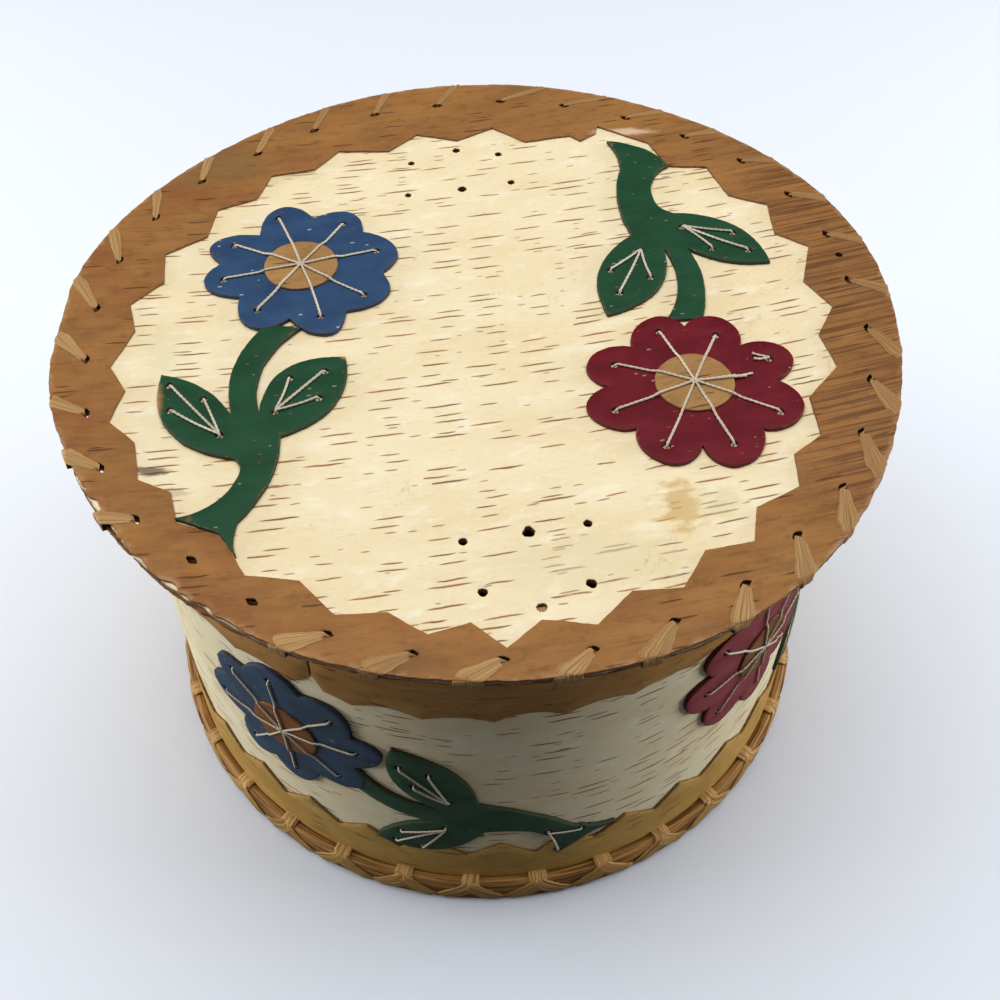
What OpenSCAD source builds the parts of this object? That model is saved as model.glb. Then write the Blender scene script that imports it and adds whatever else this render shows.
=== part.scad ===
// Round birch bark box with a loose overlapping lid.
// The wall is one sheet of white bark, banded with brown bark and lashed to a bottom disc and a foot hoop
// with split root. The lid is a sandwich of two bark sheets with a zigzag border, lashed round its edge,
// and a collar under it drops inside the mouth. Cut-bark flowers with sprays are sewn on with thread.
// Millimetres, +Z up, origin at the centre of the underside, the photographed front towards -Y.

/* [Box wall and bottom] */
// Outside radius of the white bark wall
wall_r = 122.4; // [116:0.2:140]
// Thickness of the wall bark
wall_t = 1.8; // [1.2:0.1:2.6]
// Height of the wall's top edge above the ground
box_h = 167.5; // [150:0.5:200]
// Thickness of the bottom disc
bottom_t = 2.2; // [1.8:0.1:3.2]
// Width of the wall's inside lap at the back, in degrees
lap_angle = 10; // [6:1:14]

/* [Brown bands round the wall] */
// Thickness of the band bark
band_t = 0.7; // [0.5:0.1:1.0]
// Height of the lower band's valleys above the ground
lower_band_h = 35; // [28:1:42]
// Height of the lower band's teeth
lower_tooth_h = 9; // [5:0.5:12]
// Number of teeth round the lower band
lower_teeth = 30; // [20:1:36]
// How far the upper band comes down from the mouth
upper_band_drop = 45; // [38:1:52]
// Height of the shallow scallops along the upper band
scallop_h = 4; // [2:0.5:6]
// Number of scallops
scallops = 24; // [16:1:30]

/* [Foot hoop] */
// Radial thickness of the split withe
hoop_t = 4; // [3:0.2:6]
// Height of the hoop
hoop_h = 10.5; // [8:0.5:14]
// Rounding of the hoop's outer edges
hoop_round = 1.8; // [1:0.1:2.4]

/* [Split-root lashing] */
// Width of a root strap
root_w = 5; // [3:0.2:6]
// Thickness of a root strap
root_t = 0.8; // [0.5:0.1:1]
// Number of lashings round the foot
foot_lashes = 32; // [24:1:36]
// Sideways spread of each foot strap at the ground
foot_spread = 8.5; // [5:0.5:9]
// Number of lashings round the mouth
mouth_lashes = 30; // [20:1:36]
// Depth of the mouth lashing's holes below the wall's top edge
mouth_lash_depth = 9; // [7:0.5:12]
// Number of lashings round the lid's edge
lid_lashes = 33; // [24:1:36]
// Distance of the lid's lashing holes from its edge
lash_margin = 10.5; // [9:0.5:12]
// How far a lid strap leans sideways on its way over the edge
lash_lean = 8.5; // [4:0.5:10]

/* [Lid] */
// How far the lid's edge stands out from the wall
lid_overhang = 17.6; // [16:0.2:24]
// Thickness of the brown under sheet
under_t = 1.5; // [1:0.1:2.2]
// Thickness of the white top sheet
top_t = 1.2; // [0.8:0.1:1.8]
// Thickness of the brown zigzag border
border_t = 0.9; // [0.6:0.1:1.2]
// Width of the border from the lid's edge to its inner tips
border_w = 28; // [26:0.5:32]
// Depth of the border's zigzag
border_tooth_h = 7; // [4:0.5:9]
// Number of teeth along the border
border_teeth = 27; // [20:1:32]
// How far the white field lies off centre, towards the front
field_shift = 8; // [0:0.5:9]
// Height of the collar that drops inside the mouth
collar_h = 24; // [16:1:36]
// Thickness of the collar bark
collar_t = 1.6; // [1.2:0.1:2.2]
// Play between the collar and the lashing inside the mouth
collar_play = 1.6; // [1.4:0.1:3]
// Number of stitches that hold the collar
collar_stitches_n = 24; // [16:1:30]

/* [Flowers and sprays] */
// Radius of a flower at its petal tips
flower_r = 34; // [28:1:36]
// Thickness of the cut-bark flowers and sprays
motif_t = 1.5; // [1.2:0.1:2]
// Thickness of the round flower centres
disc_t = 0.8; // [0.5:0.1:1.2]
// Thickness of the sewing thread
thread_t = 1; // [0.7:0.1:1.3]
// Radius of the awl holes for the thread
awl_r = 1.3; // [1:0.1:1.5]
// Distance of the wall's blue flower centre below the upper band's edge
wall_blue_drop = 33.5; // [28:0.5:40]
// Distance of the wall's red flower centre below the upper band's edge
wall_red_drop = 22.5; // [20:0.5:28]

/* [Spare awl holes in the lid] */
// Radius of the six spare holes at the front and the six at the back
spare_r = 1.4; // [1:0.1:1.8]
// Sideways spacing of the spare holes
spare_pitch = 17.5; // [14:0.5:20]
// Spacing of the two rows of spare holes
spare_row = 20.5; // [16:0.5:24]
// Distance of the front six's middle from the lid's edge
spare_front = 40; // [36:0.5:50]
// Distance of the back six's middle from the lid's edge
spare_back = 57; // [48:0.5:60]

/* [Hidden] */
$fn = 128;

// Clearances
fit = 0.05;          // between pieces that touch
seat_gap = 0.3;      // under the lid where it rests on the mouth
slot_play = 0.3;     // round a strap in its slot
cut = 1;             // how far a cutter runs past what it cuts

// Colours
white_bark = [0.93, 0.88, 0.76];
brown_bark = [0.62, 0.42, 0.24];
ochre_bark = [0.66, 0.49, 0.25];
root_straw = [0.72, 0.58, 0.36];
withe = [0.66, 0.46, 0.25];
blue_bark = [0.22, 0.31, 0.49];
red_bark = [0.45, 0.12, 0.18];
green_bark = [0.16, 0.31, 0.21];
thread_white = [0.86, 0.83, 0.75];

// Radii through the wall, from inside to outside
wall_in = wall_r - wall_t;
band_in = wall_r + fit;
band_out = band_in + band_t;
hoop_in = band_out + fit;
hoop_out = hoop_in + hoop_t;
strap_out = hoop_out + fit + root_t;
bottom_r = hoop_out - 0.6;
lap_in = wall_in - wall_t;

// Heights up the box
hoop_top = bottom_t + hoop_h;
foot_hole_z = hoop_top + fit;
foot_low = 0.15;
mouth_hole_z = box_h - mouth_lash_depth;
upper_band_z = box_h - upper_band_drop;
lap_top = mouth_hole_z - 3;
lap_low = foot_hole_z + root_t + 1;

// Lid levels and radii
lid_r = wall_r + lid_overhang;
under_z = box_h + fit + root_t + seat_gap;
sheet_z = under_z + under_t;
field_z = sheet_z + top_t;
border_z = field_z + border_t;
sheet_r = lid_r - 0.4;
under_r = lid_r - 1;
lash_r = lid_r - lash_margin;
field_tip = lid_r - border_w;
field_turn = -0.3;
spare_front_x = 13;
spare_back_x = -6.5;
collar_out = wall_in - fit - root_t - collar_play;
collar_in = collar_out - collar_t;
collar_low = under_z - collar_h;
stitch_t = 0.6;
stitch_w = 3;
stitch_drop = 6;

// Foot and mouth straps: angles, the first one at the photographed front
foot_pitch = 360 / foot_lashes;
foot_first = -94;
foot_leg_w = root_w * 0.72;
mouth_pitch = 360 / mouth_lashes;
lid_pitch = 360 / lid_lashes;
lid_lash_start = 7.4;
lid_lash_drift = 2;      // the hand-spaced holes wander by this many degrees
seam_angle = 90;
seam_stitches_n = 6;
seam_stitch_h = 6;
seam_margin = 7;
seam_low = lower_band_h + lower_tooth_h + seam_margin;
seam_pitch = (upper_band_z - seam_margin - seam_stitch_h - seam_low) / (seam_stitches_n - 1);
band_joint_angle = -115.5;

// The motif is drawn once, its flower at the origin and its spray towards -Y, for a flower of this radius
template_r = 34;
motif_k = flower_r / template_r;
notch_r = 25.5;
petal_n = 8;
petal_power = 0.8;
disc_r = 12.7;
thread_reach = 27.3;
tail_bulge = 1.5;
knot_r = 1.5;
butt_gap = 0.15;

// Leaf thread holes: one where the threads start, three where they end
right_leaf_base = [7.7, -67.5];
right_leaf_holes = [[8.3, -53], [18.5, -47], [19.9, -59.8]];
left_leaf_base = [-8, -80];
left_leaf_holes = [[-29, -63], [-17, -66.5], [-26, -72.5]];
tail_base = [4, -100];
tail_holes = [[-7, -112.5], [7.5, -114]];

// Places of the four motifs
lid_blue_at = polar(lid_r - 72, 154.3);
lid_blue_turn = -9.6;
lid_blue_petal_turn = -4.5;
lid_red_at = polar(lid_r - 65.2, -25.4);
lid_red_turn = 183;
lid_red_petal_turn = 180;
wall_turn = 61.4;
wall_petal_turn = 74;
wall_blue_z = upper_band_z - wall_blue_drop;
wall_red_z = upper_band_z - wall_red_drop;
wall_blue_angle = -123.2;
wall_red_angle = -42.3;
spray_middle = 68;   // distance of a spray's middle from its flower
motif_top = motif_t + fit;

// ---------- small helpers ----------

function polar(r, a) = [r * cos(a), r * sin(a)];

function turned(p, a) = [p.x * cos(a) - p.y * sin(a), p.x * sin(a) + p.y * cos(a)];

// Points from p to q that bulge to the left of the way by b
function bulged(p, q, b, n = 9) =
    let (side = [p.y - q.y, q.x - p.x] / norm(q - p))
    [for (i = [0 : n - 1]) let (t = i / n) p + t * (q - p) + side * b * 4 * t * (1 - t)];

// Points on a quarter of a rounded corner
function corner(x, z, r, a) = [for (i = [0 : 4]) [x + r * cos(a + i * 22.5), z + r * sin(a + i * 22.5)]];

// A flat strip from p to q
module strip(p, q, w, past = 0) {
    d = q - p;
    translate(p) rotate(atan2(d.y, d.x)) translate([0, -w / 2]) square([norm(d) + past, w]);
}

// A flat strap from p to q that widens on the way
module fan_strip(p, q, w, w_far, past = 0) {
    d = q - p;
    translate(p) rotate(atan2(d.y, d.x))
        polygon([[0, -w / 2], [norm(d), -w_far / 2], [norm(d) + past, -w_far / 2],
            [norm(d) + past, w_far / 2], [norm(d), w_far / 2], [0, w / 2]]);
}

// A tube of bark round the vertical axis
module tube(r_in, r_out, z_low, z_high) {
    translate([0, 0, z_low]) difference() {
        cylinder(r = r_out, h = z_high - z_low);
        translate([0, 0, -cut]) cylinder(r = r_in, h = z_high - z_low + 2 * cut);
    }
}

// Stands a flat plan up against the wall: plan X runs round the wall, plan Y up, and it fills r_in to r_out
module radial(angle, r_in, r_out) {
    rotate(angle) translate([r_in, 0, 0]) rotate([90, 0, 90]) linear_extrude(r_out - r_in) children();
}

// A strap that loops round something, seen in section, as a frame with rounded outer corners
module loop_section(r_in, r_out, z_low, z_high, t, round_low, round_high) {
    difference() {
        polygon(concat([[r_in - t, z_low - t]],
            corner(r_out - round_low, z_low + round_low, round_low + t, -90),
            corner(r_out - round_high, z_high - round_high, round_high + t, 0),
            [[r_in - t, z_high + t]]));
        polygon(concat([[r_in, z_low]],
            corner(r_out - round_low, z_low + round_low, round_low, -90),
            corner(r_out - round_high, z_high - round_high, round_high, 0),
            [[r_in, z_high]]));
    }
}

// ---------- the motif, drawn flat ----------

function petal_edge(a, grow) =
    let (lobe = pow(abs(cos(petal_n / 2 * (a - 22.5))), petal_power))
    (notch_r + (template_r - notch_r) * lobe) * (1 + 0.02 * sin(2 * a + 40)) + grow;

module flower_plan(grow = 0) {
    polygon([for (a = [0 : 3 : 357]) polar(petal_edge(a, grow), a)]);
}

// The whole spray in one outline: stem, right leaf, trunk, forked tail, trunk, left leaf and stem again
function spray_outline() = concat(
    bulged([5.5, -27], [1, -68.5], -5), bulged([1, -68.5], [23.8, -38], 8.4),
    bulged([23.8, -38], [10.7, -77], 7.8), bulged([10.7, -77], [8, -113], 3.5),
    bulged([8, -113], [10.8, -129], -0.9), bulged([10.8, -129], [-10.3, -114.3], tail_bulge),
    bulged([-10.3, -114.3], [1, -96], -3.3), bulged([1, -96], [-3.2, -87.5], -1.2, 4),
    bulged([-3.2, -87.5], [-34.5, -57], 9.3), bulged([-34.5, -57], [-7.3, -69], 3.3),
    bulged([-7.3, -69], [-5, -27], 5));

module spray_plan() {
    difference() {
        polygon(spray_outline());
        hole_plan(right_leaf_base, right_leaf_holes);
        hole_plan(left_leaf_base, left_leaf_holes);
    }
}

module hole_plan(base, ends) {
    for (p = concat([base], ends)) translate(p) circle(r = awl_r / motif_k, $fn = 12);
}

module petal_hole_plan() {
    for (i = [0 : petal_n - 1]) {
        translate(polar(thread_reach, 22.5 + i * 360 / petal_n)) circle(r = awl_r / motif_k, $fn = 12);
    }
    circle(r = awl_r / motif_k, $fn = 12);
}

module petals_plan() {
    difference() {
        flower_plan();
        petal_hole_plan();
    }
}

module star_plan() {
    for (i = [0 : petal_n - 1]) {
        strip([0, 0], polar(thread_reach, 22.5 + i * 360 / petal_n), thread_t / motif_k, thread_t / 2);
    }
    circle(r = knot_r / motif_k, $fn = 12);
}

module fan_plan(base, ends) {
    for (p = ends) strip(base, p, thread_t / motif_k, thread_t / 2);
    translate(base) circle(r = thread_t * 0.8 / motif_k, $fn = 12);
}

// Round legs of the threads, where they go down their holes
module leg_plan(points) {
    for (p = points) translate(p) circle(r = thread_t / 2 / motif_k, $fn = 8);
}

function star_points() = concat([[0, 0]],
    [for (i = [0 : petal_n - 1]) polar(thread_reach, 22.5 + i * 360 / petal_n)]);

// ---------- placing a plan on the lid or on the wall ----------

// Heights are counted outwards from the bark that carries the motif
module on_lid(at, turn, low, high) {
    translate([at.x, at.y, field_z + low]) linear_extrude(high - low)
        rotate(turn) scale(motif_k) children();
}

// shift is the plan's point that faces straight out of the wall at this angle and height
module on_wall(angle, z, shift, low, high, turn = wall_turn) {
    intersection() {
        tube(wall_r + low, wall_r + high, 0, box_h);
        radial(angle, wall_r - 50, wall_r + 10)
            translate([0, z]) rotate(turn) scale(motif_k) translate(-shift) children();
    }
}

// A spray is wrapped about its own middle, a flower about its centre
function spray_shift() = [0, -spray_middle];
function spray_angle(angle) = angle + turned([0, -spray_middle * motif_k], wall_turn).x / wall_r * 180 / PI;
function spray_z(z) = z + turned([0, -spray_middle * motif_k], wall_turn).y;

module bands_envelope() {
    lower_band_shape(fit);
    upper_band_shape(fit);
}

// Threads lie on the petals and step up over the flower's centre
module star_threads_lid(at, turn) {
    color(thread_white) union() {
        on_lid(at, turn, motif_top, motif_top + thread_t) difference() {
            star_plan();
            circle(r = disc_r + fit);
        }
        on_lid(at, turn, motif_top, motif_top + disc_t + fit + thread_t) intersection() {
            star_plan();
            difference() {
                circle(r = disc_r + fit + thread_t);
                circle(r = disc_r + fit);
            }
        }
        on_lid(at, turn, motif_top + disc_t + fit, motif_top + disc_t + fit + thread_t) intersection() {
            star_plan();
            circle(r = disc_r + fit + thread_t / 2);
        }
        on_lid(at, turn, -top_t / 2, motif_top + thread_t / 2) leg_plan(outer_star());
        on_lid(at, turn, -top_t / 2, motif_top + disc_t + thread_t / 2) leg_plan([[0, 0]]);
    }
}

function outer_star() = [for (i = [1 : petal_n]) star_points()[i]];

module star_threads_wall(angle, z) {
    color(thread_white) union() {
        on_wall(angle, z, [0, 0], motif_top, motif_top + thread_t, wall_petal_turn) difference() {
            star_plan();
            circle(r = disc_r + fit);
        }
        on_wall(angle, z, [0, 0], motif_top, motif_top + disc_t + fit + thread_t,
            wall_petal_turn) intersection() {
            star_plan();
            difference() {
                circle(r = disc_r + fit + thread_t);
                circle(r = disc_r + fit);
            }
        }
        on_wall(angle, z, [0, 0], motif_top + disc_t + fit, motif_top + disc_t + fit + thread_t,
            wall_petal_turn) intersection() {
            star_plan();
            circle(r = disc_r + fit + thread_t / 2);
        }
        on_wall(angle, z, [0, 0], -wall_t / 2, motif_top + thread_t / 2, wall_petal_turn)
            leg_plan(outer_star());
        on_wall(angle, z, [0, 0], -wall_t / 2, motif_top + disc_t + thread_t / 2, wall_petal_turn)
            leg_plan([[0, 0]]);
    }
}

module leaf_threads_plan() {
    fan_plan(right_leaf_base, right_leaf_holes);
    fan_plan(left_leaf_base, left_leaf_holes);
}

function leaf_points() = concat([right_leaf_base], right_leaf_holes, [left_leaf_base], left_leaf_holes);

// ---------- the box body ----------

module bottom_disc() {
    color(brown_bark) difference() {
        cylinder(r = bottom_r, h = bottom_t);
        for (i = [0 : foot_lashes - 1], side = [-1, 1]) {
            rotate(foot_first + i * foot_pitch + side * asin(foot_spread / hoop_out))
                translate([wall_in - fit - root_t - slot_play, -foot_leg_w / 2 - slot_play * 2, -cut])
                    cube([hoop_t * 3 + wall_t, foot_leg_w + slot_play * 4, bottom_t + 2 * cut]);
        }
    }
}

// Slots for the foot straps, just above the hoop
module foot_slots() {
    for (i = [0 : foot_lashes - 1]) {
        radial(foot_first + i * foot_pitch, lap_in - cut, band_out + cut)
            translate([-foot_leg_w / 2 - slot_play * 3, foot_hole_z - slot_play])
                square([foot_leg_w + slot_play * 6, root_t + 2 * slot_play]);
    }
}

module mouth_slots() {
    for (i = [0 : mouth_lashes - 1]) {
        radial(-90 + (i + 0.5) * mouth_pitch, wall_in - cut, band_out + cut)
            translate([-root_w / 2 - slot_play * 2, mouth_hole_z - root_t - slot_play])
                square([root_w + slot_play * 4, root_t + 2 * slot_play]);
    }
}

module seam_slots() {
    for (i = [0 : seam_stitches_n - 1], z = [0, seam_stitch_h]) {
        radial(seam_angle, lap_in - cut, wall_r + cut)
            translate([-stitch_w / 2 - slot_play, seam_low + i * seam_pitch + z - stitch_t / 2 - slot_play])
                square([stitch_w + 2 * slot_play, stitch_t + 2 * slot_play]);
    }
}

// Awl holes through the wall under the sewn flowers and sprays
module wall_thread_holes() {
    for (m = [[wall_blue_angle, wall_blue_z], [wall_red_angle, wall_red_z]]) {
        radial(m[0], wall_r - 50, wall_r + 10)
            translate([0, m[1]]) rotate(wall_petal_turn) scale(motif_k) petal_hole_plan();
        radial(spray_angle(m[0]), wall_r - 50, wall_r + 10)
            translate([0, spray_z(m[1])]) rotate(wall_turn) scale(motif_k) translate(-spray_shift()) {
                hole_plan(right_leaf_base, right_leaf_holes);
                hole_plan(left_leaf_base, left_leaf_holes);
                hole_plan(tail_base, tail_holes);
            }
    }
}

module wall_sheet() {
    color(white_bark) difference() {
        union() {
            tube(wall_in, wall_r, bottom_t, box_h);
            rotate(seam_angle - lap_angle / 2) translate([0, 0, lap_low]) rotate_extrude(angle = lap_angle)
                translate([lap_in, 0]) square([wall_t + wall_t / 2, lap_top - lap_low]);
        }
        foot_slots();
        mouth_slots();
        seam_slots();
        wall_thread_holes();
    }
}

module lower_band_shape(grow = 0) {
    tooth = 360 / lower_teeth;
    half = wall_r * sin(tooth / 2) + 0.02;
    difference() {
        tube(band_in - grow, band_out + grow, bottom_t, lower_band_h + lower_tooth_h + grow);
        for (i = [0 : lower_teeth - 1]) {
            radial(-93 + i * tooth, wall_r - 5, wall_r + 5)
                polygon([[-half * 1.05, lower_band_h + lower_tooth_h * 1.05 + grow], [0, lower_band_h + grow],
                    [half * 1.05, lower_band_h + lower_tooth_h * 1.05 + grow],
                    [half * 1.05, lower_band_h + lower_tooth_h * 1.3 + cut],
                    [-half * 1.05, lower_band_h + lower_tooth_h * 1.3 + cut]]);
        }
    }
}

module lower_band() {
    color(ochre_bark) difference() {
        lower_band_shape();
        foot_slots();
        wall_thread_holes();
    }
}

// The scallops are cut from below, and a narrow joint shows where the band's ends meet
module upper_band_shape(grow = 0) {
    scallop = 360 / scallops;
    half = wall_r * sin(scallop / 2);
    difference() {
        tube(band_in - grow, band_out + grow, upper_band_z - grow, box_h);
        for (i = [0 : scallops - 1]) {
            radial(-90 + (i + 0.5) * scallop, wall_r - 5, wall_r + 5) translate([0, upper_band_z - grow])
                polygon(concat(bulged([-half, -cut / 2], [half, -cut / 2], scallop_h + cut / 2, 6),
                    [[half, -cut / 2], [half, -2 * cut], [-half, -2 * cut]]));
        }
    }
}

module upper_band() {
    color(brown_bark) difference() {
        upper_band_shape();
        mouth_slots();
        wall_thread_holes();
        radial(band_joint_angle, wall_r - 5, wall_r + 5) polygon([[-5, upper_band_z - cut],
            [-0.15, upper_band_z + scallop_h * 2.6], [-0.15, box_h + cut], [0.15, box_h + cut],
            [0.15, upper_band_z + scallop_h * 2.6], [3, upper_band_z - cut]]);
    }
}

// A split withe with rounded outer edges, its ends meeting in a slanted joint at the back
module foot_hoop() {
    color(withe) difference() {
        rotate_extrude() polygon(concat([[hoop_in, bottom_t]],
            corner(hoop_out - hoop_round, bottom_t + hoop_round, hoop_round, -90),
            corner(hoop_out - hoop_round, hoop_top - hoop_round, hoop_round, 0),
            [[hoop_in, hoop_top]]));
        rotate(seam_angle + 6) translate([hoop_in - cut, -0.2, bottom_t - cut])
            rotate(-35) cube([hoop_t * 3, 0.3, hoop_h + 2 * cut]);
    }
}

// Each strap comes out of its slot, spreads into two legs over the hoop, and returns inside the wall
module foot_lashing() {
    color(root_straw) intersection() {
        rotate_extrude() loop_section(wall_in - fit, hoop_out + fit, foot_low + root_t, foot_hole_z,
            root_t, hoop_round, hoop_round);
        for (i = [0 : foot_lashes - 1]) {
            radial(foot_first + i * foot_pitch, wall_in - fit - root_t - 1, strap_out + 1) leg_pair_plan();
        }
    }
}

// Two legs that part from one slot, in the plane of the wall
module leg_pair_plan() {
    top = foot_hole_z + root_t + cut / 2;
    half = foot_leg_w / 2;
    polygon([[-half, top], [half, top], [half, foot_hole_z - 1.5],
        [foot_spread + half, foot_low + root_t + 1], [foot_spread + half, foot_low - 0.1],
        [foot_spread - half, foot_low - 0.1], [foot_spread - half, foot_low + root_t + 1],
        [0, foot_hole_z - 4.5],
        [-foot_spread + half, foot_low + root_t + 1], [-foot_spread + half, foot_low - 0.1],
        [-foot_spread - half, foot_low - 0.1], [-foot_spread - half, foot_low + root_t + 1],
        [-half, foot_hole_z - 1.5]]);
}

// Straps over the mouth's edge hold the upper band to the wall
module mouth_lashing() {
    color(root_straw) intersection() {
        rotate_extrude() loop_section(wall_in - fit, band_out + fit, mouth_hole_z, box_h + fit,
            root_t, 0.01, 0.3);
        for (i = [0 : mouth_lashes - 1]) {
            radial(-90 + (i + 0.5) * mouth_pitch, wall_in - fit - root_t - 1, band_out + fit + root_t + 1)
                polygon([[-root_w / 2, mouth_hole_z - root_t - cut], [root_w / 2, mouth_hole_z - root_t - cut],
                    [root_w / 2, mouth_hole_z + 1], [root_w / 2 + 4, box_h + root_t + cut],
                    [-root_w / 2 + 4, box_h + root_t + cut], [-root_w / 2, mouth_hole_z + 1]]);
        }
    }
}

module seam_stitches() {
    color(root_straw) for (i = [0 : seam_stitches_n - 1]) {
        intersection() {
            rotate_extrude() translate([0, seam_low + i * seam_pitch]) loop_section(lap_in - fit, wall_r + fit,
                stitch_t / 2, seam_stitch_h - stitch_t / 2, stitch_t, 0.01, 0.01);
            radial(seam_angle, lap_in - 2, wall_r + 2)
                translate([-stitch_w / 2, seam_low - cut]) square([stitch_w, seam_stitches_n * seam_pitch]);
        }
    }
}

// ---------- flowers and sprays on the wall ----------

module wall_petals(angle, z) {
    difference() {
        on_wall(angle, z, [0, 0], fit, motif_t, wall_petal_turn) petals_plan();
        bands_envelope();
    }
}

module wall_disc(angle, z) {
    color(brown_bark) on_wall(angle, z, [0, 0], motif_top, motif_top + disc_t) difference() {
        circle(r = disc_r);
        circle(r = awl_r / motif_k, $fn = 12);
    }
}

module wall_spray(angle, z) {
    color(green_bark) difference() {
        on_wall(spray_angle(angle), spray_z(z), spray_shift(), fit, motif_t) difference() {
            spray_plan();
            hole_plan(tail_base, tail_holes);
        }
        bands_envelope();
        on_wall(angle, z, [0, 0], 0, motif_t + cut, wall_petal_turn) flower_plan(butt_gap);
    }
}

module wall_leaf_threads(angle, z) {
    color(thread_white) union() {
        on_wall(spray_angle(angle), spray_z(z), spray_shift(), motif_top, motif_top + thread_t) {
            leaf_threads_plan();
            fan_plan(tail_base, tail_holes);
        }
        on_wall(spray_angle(angle), spray_z(z), spray_shift(), -wall_t / 2, motif_top + thread_t / 2)
            leg_plan(concat(leaf_points(), [tail_base], tail_holes));
    }
}

module wall_blue_petals() { color(blue_bark) wall_petals(wall_blue_angle, wall_blue_z); }
module wall_blue_disc() { wall_disc(wall_blue_angle, wall_blue_z); }
module wall_blue_threads() { star_threads_wall(wall_blue_angle, wall_blue_z); }
module wall_blue_spray() { wall_spray(wall_blue_angle, wall_blue_z); }
module wall_blue_leaf_threads() { wall_leaf_threads(wall_blue_angle, wall_blue_z); }
module wall_red_petals() { color(red_bark) wall_petals(wall_red_angle, wall_red_z); }
module wall_red_disc() { wall_disc(wall_red_angle, wall_red_z); }
module wall_red_threads() { star_threads_wall(wall_red_angle, wall_red_z); }
module wall_red_spray() { wall_spray(wall_red_angle, wall_red_z); }
module wall_red_leaf_threads() { wall_leaf_threads(wall_red_angle, wall_red_z); }

// ---------- the lid ----------

function lash_angle(i) = lid_lash_start - i * lid_pitch + lid_lash_drift * (1 - cos(i * lid_pitch));

module lash_holes() {
    for (i = [0 : lid_lashes - 1]) {
        translate(polar(lash_r, lash_angle(i))) circle(r = root_w * 0.3 + slot_play, $fn = 24);
    }
}

// Two groups of six spare holes, where a strap could be tied on
module spare_holes() {
    for (at = [[spare_front_x, spare_front - lid_r], [spare_back_x, lid_r - spare_back]],
        column = [-1 : 1], row = [-0.5, 0.5]) {
        translate(at + [column * spare_pitch, row * spare_row]) circle(r = spare_r, $fn = 24);
    }
}

module collar_slots() {
    for (i = [0 : collar_stitches_n - 1]) {
        rotate((i + 0.5) * 360 / collar_stitches_n)
            translate([collar_in - fit - stitch_t - slot_play, -stitch_w / 2 - slot_play])
                square([collar_t + 2 * (fit + stitch_t + slot_play), stitch_w + 2 * slot_play]);
    }
}

module lid_under_sheet() {
    color(brown_bark) translate([0, 0, under_z]) linear_extrude(under_t) difference() {
        circle(r = under_r);
        lash_holes();
        spare_holes();
        collar_slots();
    }
}

module lid_top_sheet() {
    color(white_bark) translate([0, 0, sheet_z]) difference() {
        linear_extrude(top_t) difference() {
            circle(r = sheet_r);
            lash_holes();
            spare_holes();
        }
        for (m = [[lid_blue_at, lid_blue_turn, lid_blue_petal_turn],
            [lid_red_at, lid_red_turn, lid_red_petal_turn]]) {
            translate([m[0].x, m[0].y, -cut]) linear_extrude(top_t + 2 * cut) scale(motif_k) {
                rotate(m[2]) petal_hole_plan();
                rotate(m[1]) hole_plan(right_leaf_base, right_leaf_holes);
                rotate(m[1]) hole_plan(left_leaf_base, left_leaf_holes);
            }
        }
    }
}

// The white field shows through the border's zigzag opening
module field_plan(grow = 0) {
    tooth = 360 / border_teeth;
    translate([0, -field_shift]) polygon([for (i = [0 : border_teeth - 1], half = [0, 1])
        polar(field_tip + half * border_tooth_h + grow, field_turn + (i + half / 2) * tooth)]);
}

module border_plan() {
    difference() {
        circle(r = lid_r);
        field_plan();
        lash_holes();
    }
}

module lid_border() {
    color(brown_bark) translate([0, 0, field_z]) linear_extrude(border_t) difference() {
        border_plan();
        spare_holes();
    }
}

// One root winds round the edge: up through a hole, over the edge, and under to the next hole
module lid_edge_lashing() {
    over_r = lid_r + fit + root_t;
    lean = asin(lash_lean / lid_r);
    color(root_straw) for (i = [0 : lid_lashes - 1]) {
        a = lash_angle(i);
        from = polar(lash_r, a);
        over = polar(over_r, a - lean);
        next = polar(lash_r, lash_angle(i + 1));
        union() {
            translate([0, 0, border_z + fit]) linear_extrude(root_t) intersection() {
                fan_strip(from, over, root_w * 0.8, root_w * 1.35, root_w);
                circle(r = over_r);
            }
            translate([0, 0, under_z - fit - root_t])
                linear_extrude(border_z - under_z + 2 * (fit + root_t)) intersection() {
                    fan_strip(from, over, root_w * 0.8, root_w * 1.35, root_w);
                    difference() {
                        circle(r = over_r);
                        circle(r = lid_r + fit);
                    }
                }
            translate([0, 0, under_z - fit - root_t]) linear_extrude(root_t) intersection() {
                fan_strip(next, over, root_w * 0.8, root_w * 1.35, root_w);
                circle(r = over_r);
            }
            translate([from.x, from.y, under_z])
                cylinder(r = root_w * 0.3, h = border_z - under_z + root_t, $fn = 24);
        }
    }
}

module lid_collar() {
    color(brown_bark) difference() {
        tube(collar_in, collar_out, collar_low, under_z);
        for (i = [0 : collar_stitches_n - 1]) {
            radial((i + 0.5) * 360 / collar_stitches_n, collar_in - cut, collar_out + cut)
                translate([-stitch_w / 2 - slot_play, under_z - stitch_drop - stitch_t - slot_play])
                    square([stitch_w + 2 * slot_play, stitch_t + 2 * slot_play]);
        }
    }
}

// Each stitch passes through the collar and up through the under sheet, whose top it lies flush with
module collar_stitches() {
    color(root_straw) intersection() {
        rotate_extrude() loop_section(collar_in - fit, collar_out + fit, under_z - stitch_drop,
            sheet_z - stitch_t - fit, stitch_t, 0.01, 0.01);
        for (i = [0 : collar_stitches_n - 1]) {
            radial((i + 0.5) * 360 / collar_stitches_n, collar_in - 3, collar_out + 3)
                translate([-stitch_w / 2, under_z - stitch_drop - 2])
                    square([stitch_w, stitch_drop + under_t + 4]);
        }
    }
}

// ---------- flowers and sprays on the lid ----------

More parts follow.
